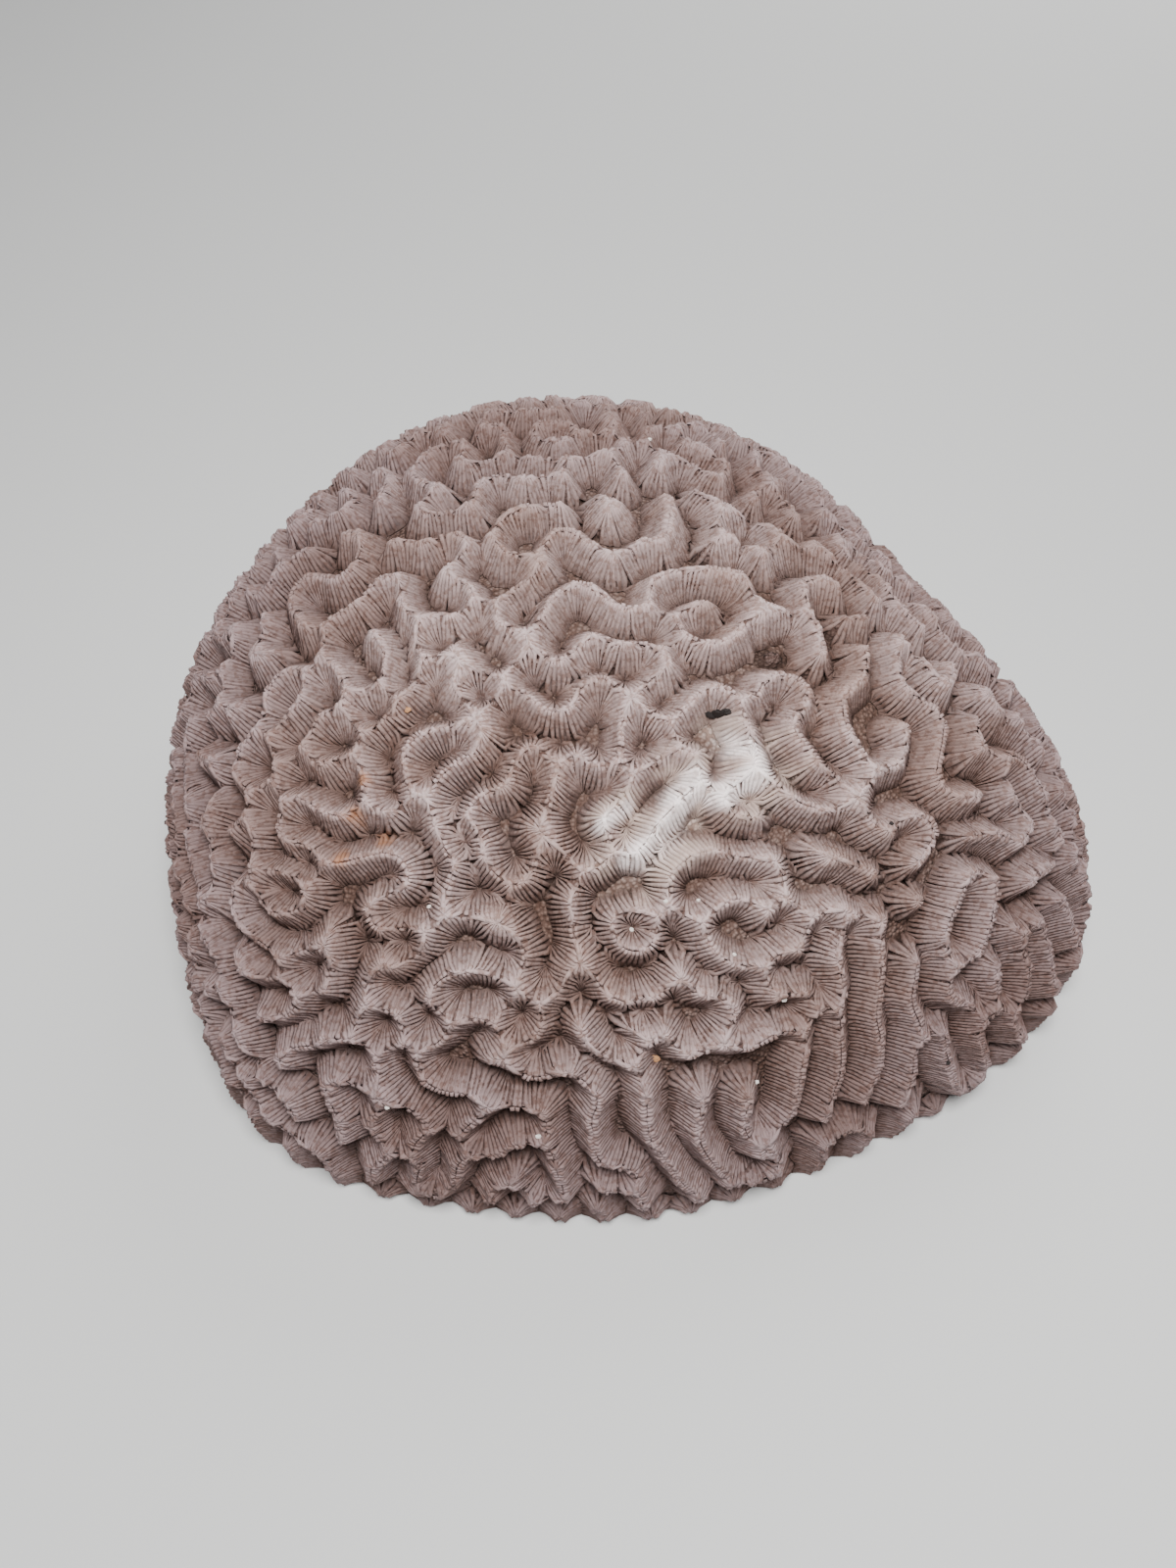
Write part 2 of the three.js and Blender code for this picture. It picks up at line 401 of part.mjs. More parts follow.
// Depth below the crest surface: broad crests and narrow flat floors, shallower near the base.
function flankDepth(wall, height) {
  const out = (WALL_SPACING / 4 - wall) / (WALL_SPACING / 4 + FLOOR_EDGE);
  const down = Math.min(Math.max(out, 0), 1) ** CREST_BREADTH;
  const t = Math.min(Math.max(height / RIM_RELIEF_HEIGHT, 0), 1);
  const share = RIM_RELIEF + (1 - RIM_RELIEF) * t * t * (3 - 2 * t);
  return VALLEY_DEPTH * share * down;
}

// Points on crests and valley floors first, then on the flanks where there is room.
function placePoints(walls) {
  const placed = [];
  const cells = new Map();
  const key = (p, dx, dy, dz) => {
    const x = Math.floor(p.x / POINT_GAP) + dx;
    const y = Math.floor(p.y / POINT_GAP) + dy;
    const z = Math.floor(p.z / POINT_GAP) + dz;
    return (x + 500) * 1e6 + (y + 500) * 1e3 + z + 100;
  };
  const roomFor = (p) => {
    for (let dx = -1; dx <= 1; dx++) {
      for (let dy = -1; dy <= 1; dy++) {
        for (let dz = -1; dz <= 1; dz++) {
          for (const other of cells.get(key(p, dx, dy, dz)) ?? []) {
            if (other.distanceTo(p) < POINT_GAP) return false;
          }
        }
      }
    }
    return true;
  };
  const place = (cx, cy, edge) => {
    const p = domePoint(cx, cy);
    if (!edge && !roomFor(p)) return;
    const cell = key(p, 0, 0, 0);
    if (!cells.has(cell)) cells.set(cell, []);
    cells.get(cell).push(p);
    placed.push({ cx, cy, edge });
  };
  for (let k = 0; k < RIM_POINTS; k++) {
    const turn = (2 * Math.PI * k) / RIM_POINTS;
    const out = CHART_CUT - 0.002 * speckle(k, 7);
    place(out * Math.cos(turn), out * Math.sin(turn), true);
  }
  const candidates = [];
  for (let i = 0; i < CHART_SIZE; i++) {
    for (let j = 0; j < CHART_SIZE; j++) {
      const cx = chartAt(j);
      const cy = chartAt(i);
      if (Math.hypot(cx, cy) > CHART_CUT - 2) continue;
      const x = cx + 0.02 * (speckle(i, j) - 0.5);
      const y = cy + 0.02 * (speckle(j, i) - 0.5);
      candidates.push({ cx: x, cy: y, rank: Math.abs(walls[i * CHART_SIZE + j]) });
    }
  }
  candidates.sort((a, b) => b.rank - a.rank);
  for (const { cx, cy } of candidates) place(cx, cy, false);
  return placed;
}

function circleThrough(a, b, c) {
  const bx = b.cx - a.cx;
  const by = b.cy - a.cy;
  const dx = c.cx - a.cx;
  const dy = c.cy - a.cy;
  const d = 2 * (bx * dy - by * dx);
  const bb = bx * bx + by * by;
  const cc = dx * dx + dy * dy;
  const x = (dy * bb - by * cc) / d;
  const y = (bx * cc - dx * bb) / d;
  return { x: a.cx + x, y: a.cy + y, r2: x * x + y * y };
}

// Delaunay triangles of the chart points, by adding one point at a time.
function triangulate(points) {
  const count = points.length;
  const all = [...points, { cx: -9e3, cy: -9e3 }, { cx: 9e3, cy: -9e3 }, { cx: 0, cy: 12e3 }];
  const make = (a, b, c) => ({ a, b, c, circle: circleThrough(all[a], all[b], all[c]) });
  let triangles = [make(count, count + 1, count + 2)];
  for (let p = 0; p < count; p++) {
    const { cx, cy } = all[p];
    const kept = [];
    const edges = new Map();
    for (const t of triangles) {
      const { x, y, r2 } = t.circle;
      if ((cx - x) ** 2 + (cy - y) ** 2 >= r2) {
        kept.push(t);
        continue;
      }
      for (const [from, to] of [[t.a, t.b], [t.b, t.c], [t.c, t.a]]) {
        const back = to * 1e5 + from;
        if (edges.has(back)) edges.delete(back);
        else edges.set(from * 1e5 + to, [from, to]);
      }
    }
    for (const [from, to] of edges.values()) kept.push(make(from, to, p));
    triangles = kept;
  }
  return triangles.filter((t) => t.a < count && t.b < count && t.c < count);
}

function coralGeometry() {
  const walls = growWalls(cellAreas());
  const points = placePoints(walls);
  const positions = [];
  for (const { cx, cy, edge } of points) {
    const p = domePoint(cx, cy);
    const depth = flankDepth(readField(walls, cx, cy), p.z);
    p.addScaledVector(domeNormal(cx, cy), -depth);
    const z = edge ? 0 : Math.max(p.z, 0.6);
    positions.push(p.x + CENTRE_SHIFT[0], p.y + CENTRE_SHIFT[1], z);
  }
  const index = [];
  for (const { a, b, c } of triangulate(points)) index.push(a, b, c);
  const hub = points.length;
  positions.push(CENTRE_SHIFT[0], CENTRE_SHIFT[1], 0);
  for (let k = 0; k < RIM_POINTS; k++) index.push(hub, (k + 1) % RIM_POINTS, k);
  const geometry = new THREE.BufferGeometry();
  geometry.setAttribute('position', new THREE.Float32BufferAttribute(positions, 3));
  geometry.setIndex(index);
  geometry.computeVertexNormals();
  return geometry;
}

const skeleton = new THREE.MeshStandardMaterial({ color: 0xa5948c, roughness: 0.9, metalness: 0 });
const coral = new THREE.Mesh(coralGeometry(), skeleton);
coral.name = 'coral';

const part = new THREE.Group();
part.name = 'brain_coral';
part.add(coral);

export default part;
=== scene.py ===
# Brain coral skeleton on a pale floor, seen from above its front edge.
# The dome, the walls and their maze follow the same rules and sizes as the part's source.
# The body carries the walls. Thin blades, the septa, stand on it, and loose bits lie on top.
import math

import bmesh
import bpy
import numpy as np
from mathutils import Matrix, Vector


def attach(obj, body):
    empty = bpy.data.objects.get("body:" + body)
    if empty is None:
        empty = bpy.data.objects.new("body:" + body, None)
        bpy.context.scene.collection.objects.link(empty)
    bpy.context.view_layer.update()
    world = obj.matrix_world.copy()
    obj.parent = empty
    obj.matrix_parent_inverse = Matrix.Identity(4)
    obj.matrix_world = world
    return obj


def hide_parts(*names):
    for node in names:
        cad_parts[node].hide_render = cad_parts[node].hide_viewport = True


MM = 0.001
DEGREE = math.pi / 180
FAR = 1e3
TINY = 1e-9
TINY_STEP = 1e-6
TINY_SQUARE = 1e-12

# Overall shape, in millimetres and degrees.
DOME_TOP = 82.0
WIDEST_HEIGHT = 14.0
RIM_RADIUS = 87.0
RIM_SWELLS = [  # azimuth, half-width and how far outwards
    (-13, 28, 22.4),
    (-42, 20, 3.2),
    (10, 24, -5.7),
    (150, 24, -3.3),
    (230, 20, 7.8),
    (285, 20, 1.3),
]
FULLNESS = 2.25  # exponent of the dome's profile, 2 is an ellipse
LOBE_SLACK = 0.24  # the profile is less full towards the lobe
LOBE_AZIMUTH = -13
LOBE_SLACK_WIDTH = 43
APEX_SHIFT = (-3.9, 15.7)  # the top leans away from the centre of the rim
CENTRE_SHIFT = (-9.26, -0.62)  # brings the middle of the outline onto the Z axis

# Walls and valleys.
WALL_SPACING = 8.4
VALLEY_DEPTH = 5.0
FLOOR_EDGE = 1.5  # the valley floor begins this far out from the wall's edge
CREST_BREADTH = 1.35  # 1 is a sharp crest with straight flanks
RIM_RELIEF = 0.3  # share of the valley depth that is left at the cut base
RIM_RELIEF_HEIGHT = 16.0  # full depth from this height up
CREST_ROUNDING = 0.12  # mm2
RIM_WALLS = 66  # walls that meet the rim at right angles
RIM_BAND = (96, 12)  # chart distance where they begin, and the width over which they set in

# Growth: the field is spread finely and coarsely, and the difference is steepened.
GROWTH_ROUNDS = 12
GROWTH_GAIN = 6
FINE_SPREAD = 0.549  # times the square of a spacing over a full turn
COARSE_SPREAD = 3  # times the fine one
SPREAD_STEP = 0.22  # share of a cell's area in one step, small enough to stay steady
RIM_PULL = 0.5
ROUTE_PULL = 0.8
ROUTE_HOLD = 0.85  # spacings from a traced route to where its hold ends
ROUTE_FADE = 0.25  # spacings over which the hold sets in
ROUTE_REACH = 14  # chart distance as far as the nearest route is looked for
EDGE_REACH = 8  # and the nearest edge of a wall
HIGHEST_WALL = 1.4  # quarter spacings in from the edge, where the wall stops rising
SPECKLE_TURNS = (12.9898, 78.233)
SPECKLE_GAIN = 43758.5453

# The chart: distance from its middle is CHART_SCALE times the tangent of half the polar angle.
CHART_SCALE = 100
CHART_REACH = 127.2
CHART_STEP = 0.6
CHART_CUT = 123.4  # chart distance of the cut base's edge
CHART_SIZE = int(round(2 * CHART_REACH / CHART_STEP)) + 1
CHART_LAST = CHART_SIZE - 1.001  # just inside the last cell
SHORTEST_LINE = 4  # points

# Crest lines of the walls that the photograph shows clearly, in chart units.
# They were read off. The other walls grow between them by rule.
WALL_ROUTES = [
    [(-33.5, -31), (-34.8, -33), (-33, -34.8), (-29.5, -35.2), (-27, -36.3), (-26.8, -38), (-29, -39.7),
     (-32, -39.5), (-34.5, -37.8), (-35.5, -35.8), (-37.5, -35.8), (-39, -38), (-38, -40.8),
     (-35.5, -43.2), (-32, -44.8), (-29, -44.2), (-27, -42.8), (-25, -42)],
    [(-28.5, -32.5), (-26.5, -32.3), (-25.3, -33.5), (-24.3, -35), (-21, -35.3), (-18, -35.2),
     (-16, -36.3), (-15.3, -38.2), (-16.5, -39.8), (-19, -39.6), (-20.8, -40.8), (-20.8, -43),
     (-19, -43.8), (-16.5, -43.3), (-14.8, -45), (-16, -46.8), (-18.5, -48), (-19.5, -49.5)],
    [(-12.5, -31), (-13, -33.5), (-12.2, -35.5), (-11, -37.5), (-11.8, -39.8), (-13.8, -41.5),
     (-13, -43.8), (-11, -43.6), (-9, -42.8), (-7, -43.2), (-5.5, -44.8), (-6.5, -46.2), (-8.5, -46)],
    [(-10, -33), (-8.8, -35), (-8.4, -37), (-7.4, -39.6), (-5, -40.8), (-3.2, -39.5), (-2.4, -37),
     (-3.5, -34.8), (-2, -33.4), (-0.8, -35.5), (0.5, -38), (2.5, -39.3), (4.3, -38), (5, -35.5),
     (4, -33.8), (6.5, -31), (8, -28.8), (9.8, -27), (12, -25.8), (13.8, -26.2), (13.8, -28.5),
     (12.5, -30.5), (11, -32), (9.5, -34), (7.8, -37)],
    [(-40.5, -43.8), (-38.5, -45.5), (-40, -46.3), (-37.5, -47), (-34, -47.3), (-32, -49), (-33, -51),
     (-35.5, -52.8), (-38, -53), (-40, -52.5)],
    [(-28.5, -50), (-28, -48), (-26, -46.5), (-25.5, -44.5)],
    [(-20, -46.5), (-22, -47.5), (-23.8, -49.5), (-24.3, -51.5), (-23, -53.5), (-20.5, -54), (-19.8, -56),
     (-22, -58.5), (-25, -60), (-26.5, -62.5), (-27, -65), (-26, -68), (-26.5, -70.2), (-24.5, -71),
     (-22.8, -73.5), (-23.5, -76.5), (-25, -78.3), (-27.5, -79.3), (-28.8, -82), (-29, -85.5),
     (-30.5, -89.5), (-33, -93.5), (-35, -97.5), (-38, -102)],
    [(-31.5, -55.5), (-30, -57), (-27.5, -57.5), (-26.3, -55.5), (-25.5, -53)],
    [(-16.5, -58.5), (-19.5, -60.5), (-21.5, -63.5), (-20, -66.5), (-17, -68.3), (-12.5, -69)],
    [(-41, -60.5), (-39.5, -57.8), (-36, -57), (-33, -57.5)],
    [(-30.5, -69), (-31, -65.5), (-33, -63.5), (-35.5, -64.5), (-36, -68), (-37, -71.5), (-38.5, -75),
     (-40, -79)],
    [(-11.5, -56), (-13.5, -56.8), (-16, -55), (-17, -52.5), (-15.5, -50.8), (-13, -49.8), (-10, -50),
     (-7.5, -51), (-6, -53), (-7, -55), (-8.5, -57.5), (-9, -60), (-10.5, -62.5)],
    [(-4.5, -48.5), (-5, -51), (-4, -53.5), (-2, -54), (-0.5, -52.5), (-0.3, -49.5)],
    [(-3.8, -54.5), (-3.5, -57.5), (-5, -59.5), (-7, -61.5), (-7.8, -64.5), (-5.5, -65.8), (-3, -64.8),
     (0, -63.5), (2, -66), (3.8, -68.5), (3.5, -71), (1.8, -73.5), (2.5, -76.5), (2.3, -80), (2.8, -83.5),
     (5, -85.8), (8, -86.5), (10.5, -87.5), (11, -90.5), (12, -94), (12.5, -99), (13, -105)],
    [(11, -41), (11, -38.7), (13, -36.9), (15.5, -36), (19, -36), (22.5, -36.3), (23.5, -38.5),
     (24.5, -40.5), (26.5, -41.5)],
    [(12, -42.5), (14, -44), (16, -43), (17.5, -41.3), (20, -40.3), (22.3, -41.2), (23, -43)],
    [(15.5, -46), (17, -48.2), (20, -49.3), (23, -48.8), (25, -47), (26, -45.5)],
    [(33, -41), (31, -39.5), (28.8, -41.3), (27.6, -44), (27.6, -47)],
    [(32, -43), (32, -46.5), (33.5, -48.7), (35, -50.5), (35.4, -53.5), (36.5, -57), (38.5, -61),
     (40.3, -65), (41.5, -70), (42.5, -75)],
    [(24, -50.5), (25.8, -53.3), (28, -51.3), (30.5, -51.5), (31.8, -54), (32, -57), (33, -61),
     (33.5, -65), (35, -70), (35.5, -74), (33.5, -77.5), (34.5, -81), (36.5, -85.5), (39, -90),
     (42, -95)],
    [(20.5, -60.5), (24, -59.5), (27, -57.5), (31, -57)],
    [(36, -40), (36.5, -43.5), (38.5, -46), (40, -50), (41.5, -54.5), (44, -57.5), (46.5, -62),
     (47.8, -66), (48.3, -71)],
    [(0.3, -41.3), (1.3, -44), (1.2, -46.5), (3, -48.6), (3.2, -51), (4.5, -53.3), (7.5, -54.2),
     (10.5, -53.5), (12, -51.5), (13, -49), (14.5, -50.8), (15.5, -53), (18, -52.3), (20.5, -54),
     (20.8, -56.5), (18.5, -59), (16.5, -61), (14, -61.3), (12.5, -59), (11.5, -56.5)],
    [(4.5, -44.5), (6, -47.3), (8.5, -47.6), (10.3, -46), (10, -43.8), (8, -43.2)],
    [(1, -56.5), (1.5, -59), (3.5, -61.5), (6, -63.2), (9, -63), (9.5, -60.5), (9, -58), (6.5, -57.8)],
    [(-10, -32.8), (-9.2, -31.3), (-7, -30.6), (-5, -30.8), (-4.8, -28.5), (-3.8, -26.8), (-2.3, -26.2),
     (-1.2, -27.5), (-1.5, -29.8), (-1.4, -31.5), (0, -30), (0, -28), (1.5, -26.8), (2.7, -28),
     (3.8, -29), (5.3, -28.4), (6.2, -26.5), (6.3, -23.5), (6, -20.8), (4.8, -19.2), (3, -19.2),
     (1.7, -20.7), (1, -22.6), (-0.5, -23.3), (-2, -22.8), (-3, -21.2), (-5, -20.2), (-6.8, -21),
     (-7, -23), (-6.8, -25), (-8.8, -26.8), (-11.5, -27.8), (-12.5, -29.8), (-14.6, -30.3), (-15.2, -28),
     (-15, -25.2), (-14, -23.7), (-11.5, -23.3), (-9.3, -24.3), (-8.7, -22.5), (-9, -20.3), (-10.3, -19),
     (-11, -17), (-11.2, -15), (-10, -14.3), (-9, -15.5), (-8.3, -17.5), (-7, -19), (-5, -18.5),
     (-3.8, -17), (-4, -14), (-6, -12.5), (-6, -10.3), (-4.5, -8.8), (-2.8, -8), (-2.5, -6), (-3.7, -4.3),
     (-5.5, -4), (-6.7, -3), (-7.2, -1), (-6.5, 1), (-4.5, 2.4), (-2, 2.2), (0, 2.5)],
    [(-1.2, -6.5), (-1.7, -4.5), (-1.5, -2.3), (0, -0.7), (1.5, -1.3), (2.2, -3), (3.5, -2.8),
     (4.5, -4.3), (5.5, -4), (6.5, -2.2), (8.7, -1.8), (9.8, 0), (11.5, 2.5), (11.8, 5)],
    [(19, -22.5), (17.6, -21.3), (17, -19.2), (15.5, -18.1), (13.5, -19.3), (12, -21.5), (11, -23.2),
     (9.3, -23.2), (8.2, -21.5), (8, -19.8), (9.3, -18.3), (10.8, -17.2), (10, -15), (7.8, -15.2),
     (6.3, -16.2), (5, -15.2), (3.2, -14.8), (1.8, -16.2), (0.3, -18.2), (-1.5, -17.8), (-2.3, -15.3),
     (-2, -12.5), (-0.8, -9.8), (1, -8.4), (3.5, -9), (5.3, -10.8), (7, -11.2), (8.5, -10.6), (8.3, -8.3),
     (8.7, -6.2), (10.3, -4.9), (13, -4.5), (15.6, -4.6), (16.5, -6.5), (16.4, -9), (15.5, -12),
     (13.5, -13.8), (11.5, -13), (10.7, -10.8), (11.6, -9), (13.6, -8.7)],
    [(20, -31.3), (18, -32.3), (16.3, -31.3), (16.3, -29.5), (18.5, -28.5), (19.9, -27), (19.5, -25),
     (17.5, -25.8)],
    [(20, -19.8), (18.8, -18), (19, -16), (21, -15), (22.6, -15.8), (22.8, -18), (22, -20)],
    [(20.7, -27), (22, -28.5), (24, -28.7), (26, -29), (28.3, -28.3), (28.3, -26), (27, -24.8),
     (24.7, -24.5), (24, -22.5), (22, -21.5)],
    [(28.8, -24), (28.8, -21.5), (27, -20), (26, -18), (25.5, -15.5), (27, -13.5), (28, -11),
     (27.5, -9.5)],
    [(26, -2.8), (23.5, -3), (21.5, -4.3), (21.8, -7), (22.7, -9.5), (23, -12)],
    [(19.8, -8), (18.5, -6.8), (17.9, -9)],
    [(32, -7), (31.5, -9.5), (31, -11.5), (32.5, -13), (35.5, -13.8), (37, -16), (36.8, -18.5),
     (36.7, -21), (38, -22.8), (40.5, -23), (43, -22)],
    [(31.5, -29), (30.5, -26.5), (30, -24.5), (31, -22.5), (33, -21), (33.5, -19), (32.5, -17)],
    [(37.5, -32), (38.5, -29), (38.3, -26.8), (36.5, -26.3), (34.7, -27.5), (34.3, -30)],
    [(38.8, -8), (37.5, -11), (35.5, -10.5), (34.8, -8.5)],
    [(-8.3, -10), (-9.8, -11.4), (-11.5, -11), (-13.8, -11.5), (-15.5, -10.5), (-16.5, -8.8)],
    [(-8.2, -9.5), (-8.4, -8), (-10.3, -7.3), (-11.9, -6.3), (-11, -4.6), (-9.8, -2.8), (-10.3, -1),
     (-12, -0.7), (-14.7, -2), (-17, -0.8), (-19, -1)],
    [(-9.5, 7.5), (-9.8, 5), (-10.3, 3), (-12.5, 3), (-14.7, 3), (-16, 4.3), (-15.5, 6.5)],
    [(-17, -5.8), (-19, -5.3), (-20.3, -7), (-22, -8.8), (-24.8, -9.3), (-25.8, -11.5), (-25, -14),
     (-23, -15.5), (-21.5, -17.3), (-19, -18.5), (-17, -18.2), (-16.3, -16), (-17, -13.3), (-19, -12.2)],
    [(-14, -13), (-13.2, -15), (-13.5, -18), (-15.5, -19.7), (-16.3, -21.4), (-18.3, -22.2),
     (-20.3, -20.8), (-22, -19.8), (-24, -19.8), (-24.8, -21.3), (-26.7, -22.6), (-25.5, -24.2),
     (-23.5, -25), (-21, -24.3), (-19.3, -24), (-18.9, -26.5), (-19, -29.5), (-17, -31.3)],
    [(-25, 3), (-23, 2), (-22.7, -0.5), (-22.8, -3.3), (-24.5, -4), (-27, -3), (-29.5, -2), (-31, -3.3),
     (-31.5, -5.5), (-29.8, -7.3), (-28.5, -9.3)],
    [(-33, -10.5), (-35, -11.3), (-37, -9.8), (-35.5, -8.3), (-34.5, -6.5), (-35.5, -4.8)],
    [(-33, -17.8), (-32.8, -15.5), (-31, -14), (-28, -14.3), (-27, -16), (-27, -17.8), (-28.5, -19),
     (-30.5, -20), (-32.3, -21.5), (-31, -23), (-29, -24.2), (-30, -26), (-32.5, -26.3), (-35, -26),
     (-37.5, -24.5), (-37.3, -22.3), (-36, -20.5), (-34, -20)],
    [(-33.5, -31), (-33.5, -29.5), (-35.5, -28.8), (-37.8, -29.8)],
    [(-29.5, -32), (-29.8, -30), (-28.5, -28), (-26.5, -27.3), (-25, -28.8), (-23.5, -30),
     (-21.5, -30.5)],
    [(45.5, -31), (45.5, -34), (45, -38), (45.5, -40.5), (47.5, -42.5), (49.5, -45), (50, -47.5),
     (52, -49.3), (54, -49.5), (56, -49), (58.5, -49.5), (61, -52), (65, -55), (69, -57.5), (74, -60.5),
     (79, -64), (84, -68)],
    [(49, -31), (50.8, -34.5), (52, -37.5), (52.5, -41), (51.3, -43.3)],
    [(43, -44.5), (44.5, -47), (44.8, -50), (47, -52.3), (50, -54.3), (51.5, -57.5), (53.5, -61),
     (56, -64.5), (57.5, -68), (59, -72)],
    [(55, -54), (58, -58), (61, -60.5), (65, -62.5), (70, -65.5), (75, -68.5), (80, -71)],
    [(57, -41.5), (58, -43.5), (61, -46.5), (64, -48.5), (67, -50), (71, -51.5), (76, -53.5), (82, -55)],
    [(56, -36.5), (59.5, -38), (62, -39.5), (65.5, -41), (68, -43.5), (70.5, -46)],
    [(61, -34), (65, -35.5), (69, -38), (73, -40.3), (77, -42), (82, -43.5)],
    [(65, -30.5), (70, -31.5), (75, -33.5), (80, -34.5)],
    [(9.5, -67), (10.5, -72), (11, -75), (11.8, -78), (13.5, -81), (15, -84.5), (17, -88), (19, -92),
     (21.5, -95), (24, -98), (26.5, -103)],
    [(18.5, -69), (19, -73), (19, -77), (20, -80.5), (22, -84), (24.5, -87.5), (28, -92), (31, -97)],
    [(25, -70), (26.5, -74), (28, -78), (30, -82.5), (32, -87), (34, -92), (37, -98)],
    [(2.7, -92.5), (5, -94.5), (8, -95)],
    [(-4.2, -73), (-4.2, -78), (-4, -83), (-3.8, -87), (-3.8, -91), (-3.8, -99)],
    [(-4.5, -71.3), (-7.5, -71.2), (-10.5, -71), (-13.5, -72.3), (-16, -74.5), (-18.5, -77.5),
     (-19.6, -81), (-18.5, -84), (-15.5, -84), (-12.5, -82), (-10, -79.8), (-7, -79.3), (-4.8, -79.6)],
    [(-10.5, -90.3), (-13, -91), (-15.5, -92.5), (-17.5, -95), (-19, -98.5), (-20, -103)],
    [(-29, -70.5), (-31.5, -72), (-33.5, -75.5), (-33.5, -79.5), (-34.5, -83), (-36, -87), (-38, -86.8),
     (-40, -88), (-42, -91.5), (-44, -96)],
    [(-22, -86), (-23.5, -90), (-25, -94), (-28, -98), (-31, -103)],
    [(-11, -96), (-10.8, -103)],
    [(-13.5, 7.5), (-15, 8.5), (-17, 10), (-18.3, 12), (-18.6, 13.8), (-17.6, 15.2), (-16.2, 15.6),
     (-15.9, 17), (-15, 17.6), (-14, 17)],
    [(-13, 17.6), (-12, 17), (-11.2, 15.6), (-12.4, 14.6), (-12.9, 13.2), (-12.2, 12), (-10.5, 11.9),
     (-8.5, 12.1), (-6.8, 12.2), (-6.2, 13.8), (-6.8, 16), (-6.9, 18.8), (-7.6, 20.6), (-9.3, 21.1),
     (-10.4, 20)],
    [(-9.6, 7.5), (-8.2, 8.8), (-6.2, 8.8), (-5, 7.6), (-3.8, 7), (-2.5, 8), (-1.2, 8.8), (0.3, 7.8)],
    [(-4, 11.4), (-2, 11.6), (0, 11.4), (1.8, 11), (3.2, 12), (4.6, 13.4), (5.6, 12.4), (6.2, 10.5),
     (6.6, 8.5)],
    [(-3.4, 16.5), (-3.7, 18.6), (-3.2, 20.2), (-1.8, 20.8), (0, 20.6), (1.1, 19.8), (1.2, 18.2)],
    [(-1.5, 15), (0.2, 15.2), (1, 16.8), (2.2, 17.8), (3.8, 17.3), (5, 18.2), (5, 20.3), (4.5, 22.4),
     (4.9, 24.4), (5.9, 25), (6.8, 23.8), (7, 20.5), (6.6, 17.5), (6.4, 15)],
    [(-10.8, 23.4), (-10.3, 25.5), (-10.4, 28.2), (-9, 27), (-7.4, 25.6), (-5, 24.9), (-2.8, 25.3),
     (-0.8, 25)],
    [(0.2, 27.5), (0.6, 29.2), (2.8, 29.2), (4.8, 28.2), (5.2, 26.4)],
    [(7.2, 28.8), (8.6, 28.8), (9.6, 27), (10.2, 25)],
    [(7.2, 13.6), (7.6, 15.5), (8.6, 16.3), (9.8, 16.2), (9.8, 18), (9.5, 20.4), (10.4, 22), (12, 21.6),
     (13.5, 22.3), (13.8, 24), (14.5, 25), (14.7, 22), (14.4, 19), (13.4, 17.2)],
    [(10.2, 11.6), (10.4, 13.4), (10.8, 15), (11.6, 13.6), (11.6, 11.6)],
    [(12.8, 14.2), (14.2, 13.6), (15.6, 12.6), (17.2, 11.6), (18.8, 11.2), (19.2, 13), (19.4, 15.4),
     (18, 16.6), (16.4, 16.9), (16.8, 19)],
    [(16.8, 27.4), (17.5, 25), (18.6, 22.8), (19.4, 20.4)],
    [(24.5, 22.5), (24, 20), (24.3, 17.5), (24.8, 15.8), (24, 13.4), (23, 11.4), (22, 9.4)],
    [(27.8, 17.5), (26.6, 15.5), (26.2, 13), (26.8, 10.6), (26.8, 8.4)],
    [(-14.8, 26), (-14.6, 23.5), (-15.2, 21.4), (-16.4, 23), (-17.8, 24.4), (-19, 26.2), (-20, 24.5),
     (-20.8, 22), (-22, 20.6), (-23.2, 20.8)],
    [(-24.6, 15.6), (-23, 16.4), (-22.2, 15), (-21.6, 12.6), (-21.9, 10.4), (-22, 8)],
    [(-28.4, 14.6), (-27, 13), (-25.8, 10.6), (-26.4, 8.6), (-28.4, 8.6), (-30.4, 9.2), (-31.6, 8.8)],
]

# Septa, in millimetres. A share runs from 0 at a blade's crest end to 1 on the valley floor.
SEPTUM_GAP = 0.8
SEPTUM_LEVEL = 0.5  # in from the wall's edge: the line that the septa are spaced along
SEPTUM_STEP = 0.3
SEPTUM_REACH = 14  # steps each way
SEPTUM_END = 1.75  # out from the wall's edge, where a septum ends
SEPTUM_SHARES = np.array([0, 0.08, 0.2, 0.42, 0.7, 1])  # stations along a septum
SEPTUM_STATIONS = len(SEPTUM_SHARES)
BLADE_CORNERS = 4  # at each station, two at the top and two at the foot
BLADE_POINTS = SEPTUM_STATIONS * BLADE_CORNERS
SEPTUM_FILL = (0.7, 0.44)  # share of the gap that a septum fills, at the crest and at the valley
SEPTUM_THINNEST = 0.1
SEPTUM_THICKEST = 0.7
SEPTUM_LOWEST = 0.3
SEPTA_PER_PIECE = 4200
SHORTEST_ROW = 4  # septa
SHARPEST_TURN = 0.3  # cosine of the turn at which a septum stops
CUT_MARGIN = 1.2  # chart distance from the cut base within which no septum has its root
WEB_REACH = 2.6
SEPTUM_TOOTH = 0.6
TOOTH_LEAST = 0.3
TOOTH_WIDTH = 0.09
TOOTH_PLACE = 0.2
TOOTH_SHIFT = 0.12  # the tooth stands this much closer to the crest where the slots are open
TOOTH_TOP = 0.25  # no tooth stands out of the dome further than this
RIPPLE = 0.22
RIPPLE_START = 0.1
WORN_TEETH = 0.8
WORN_SLOTS = 0.6
LUCK_SEED = 3
RIPPLE_SEED = 11

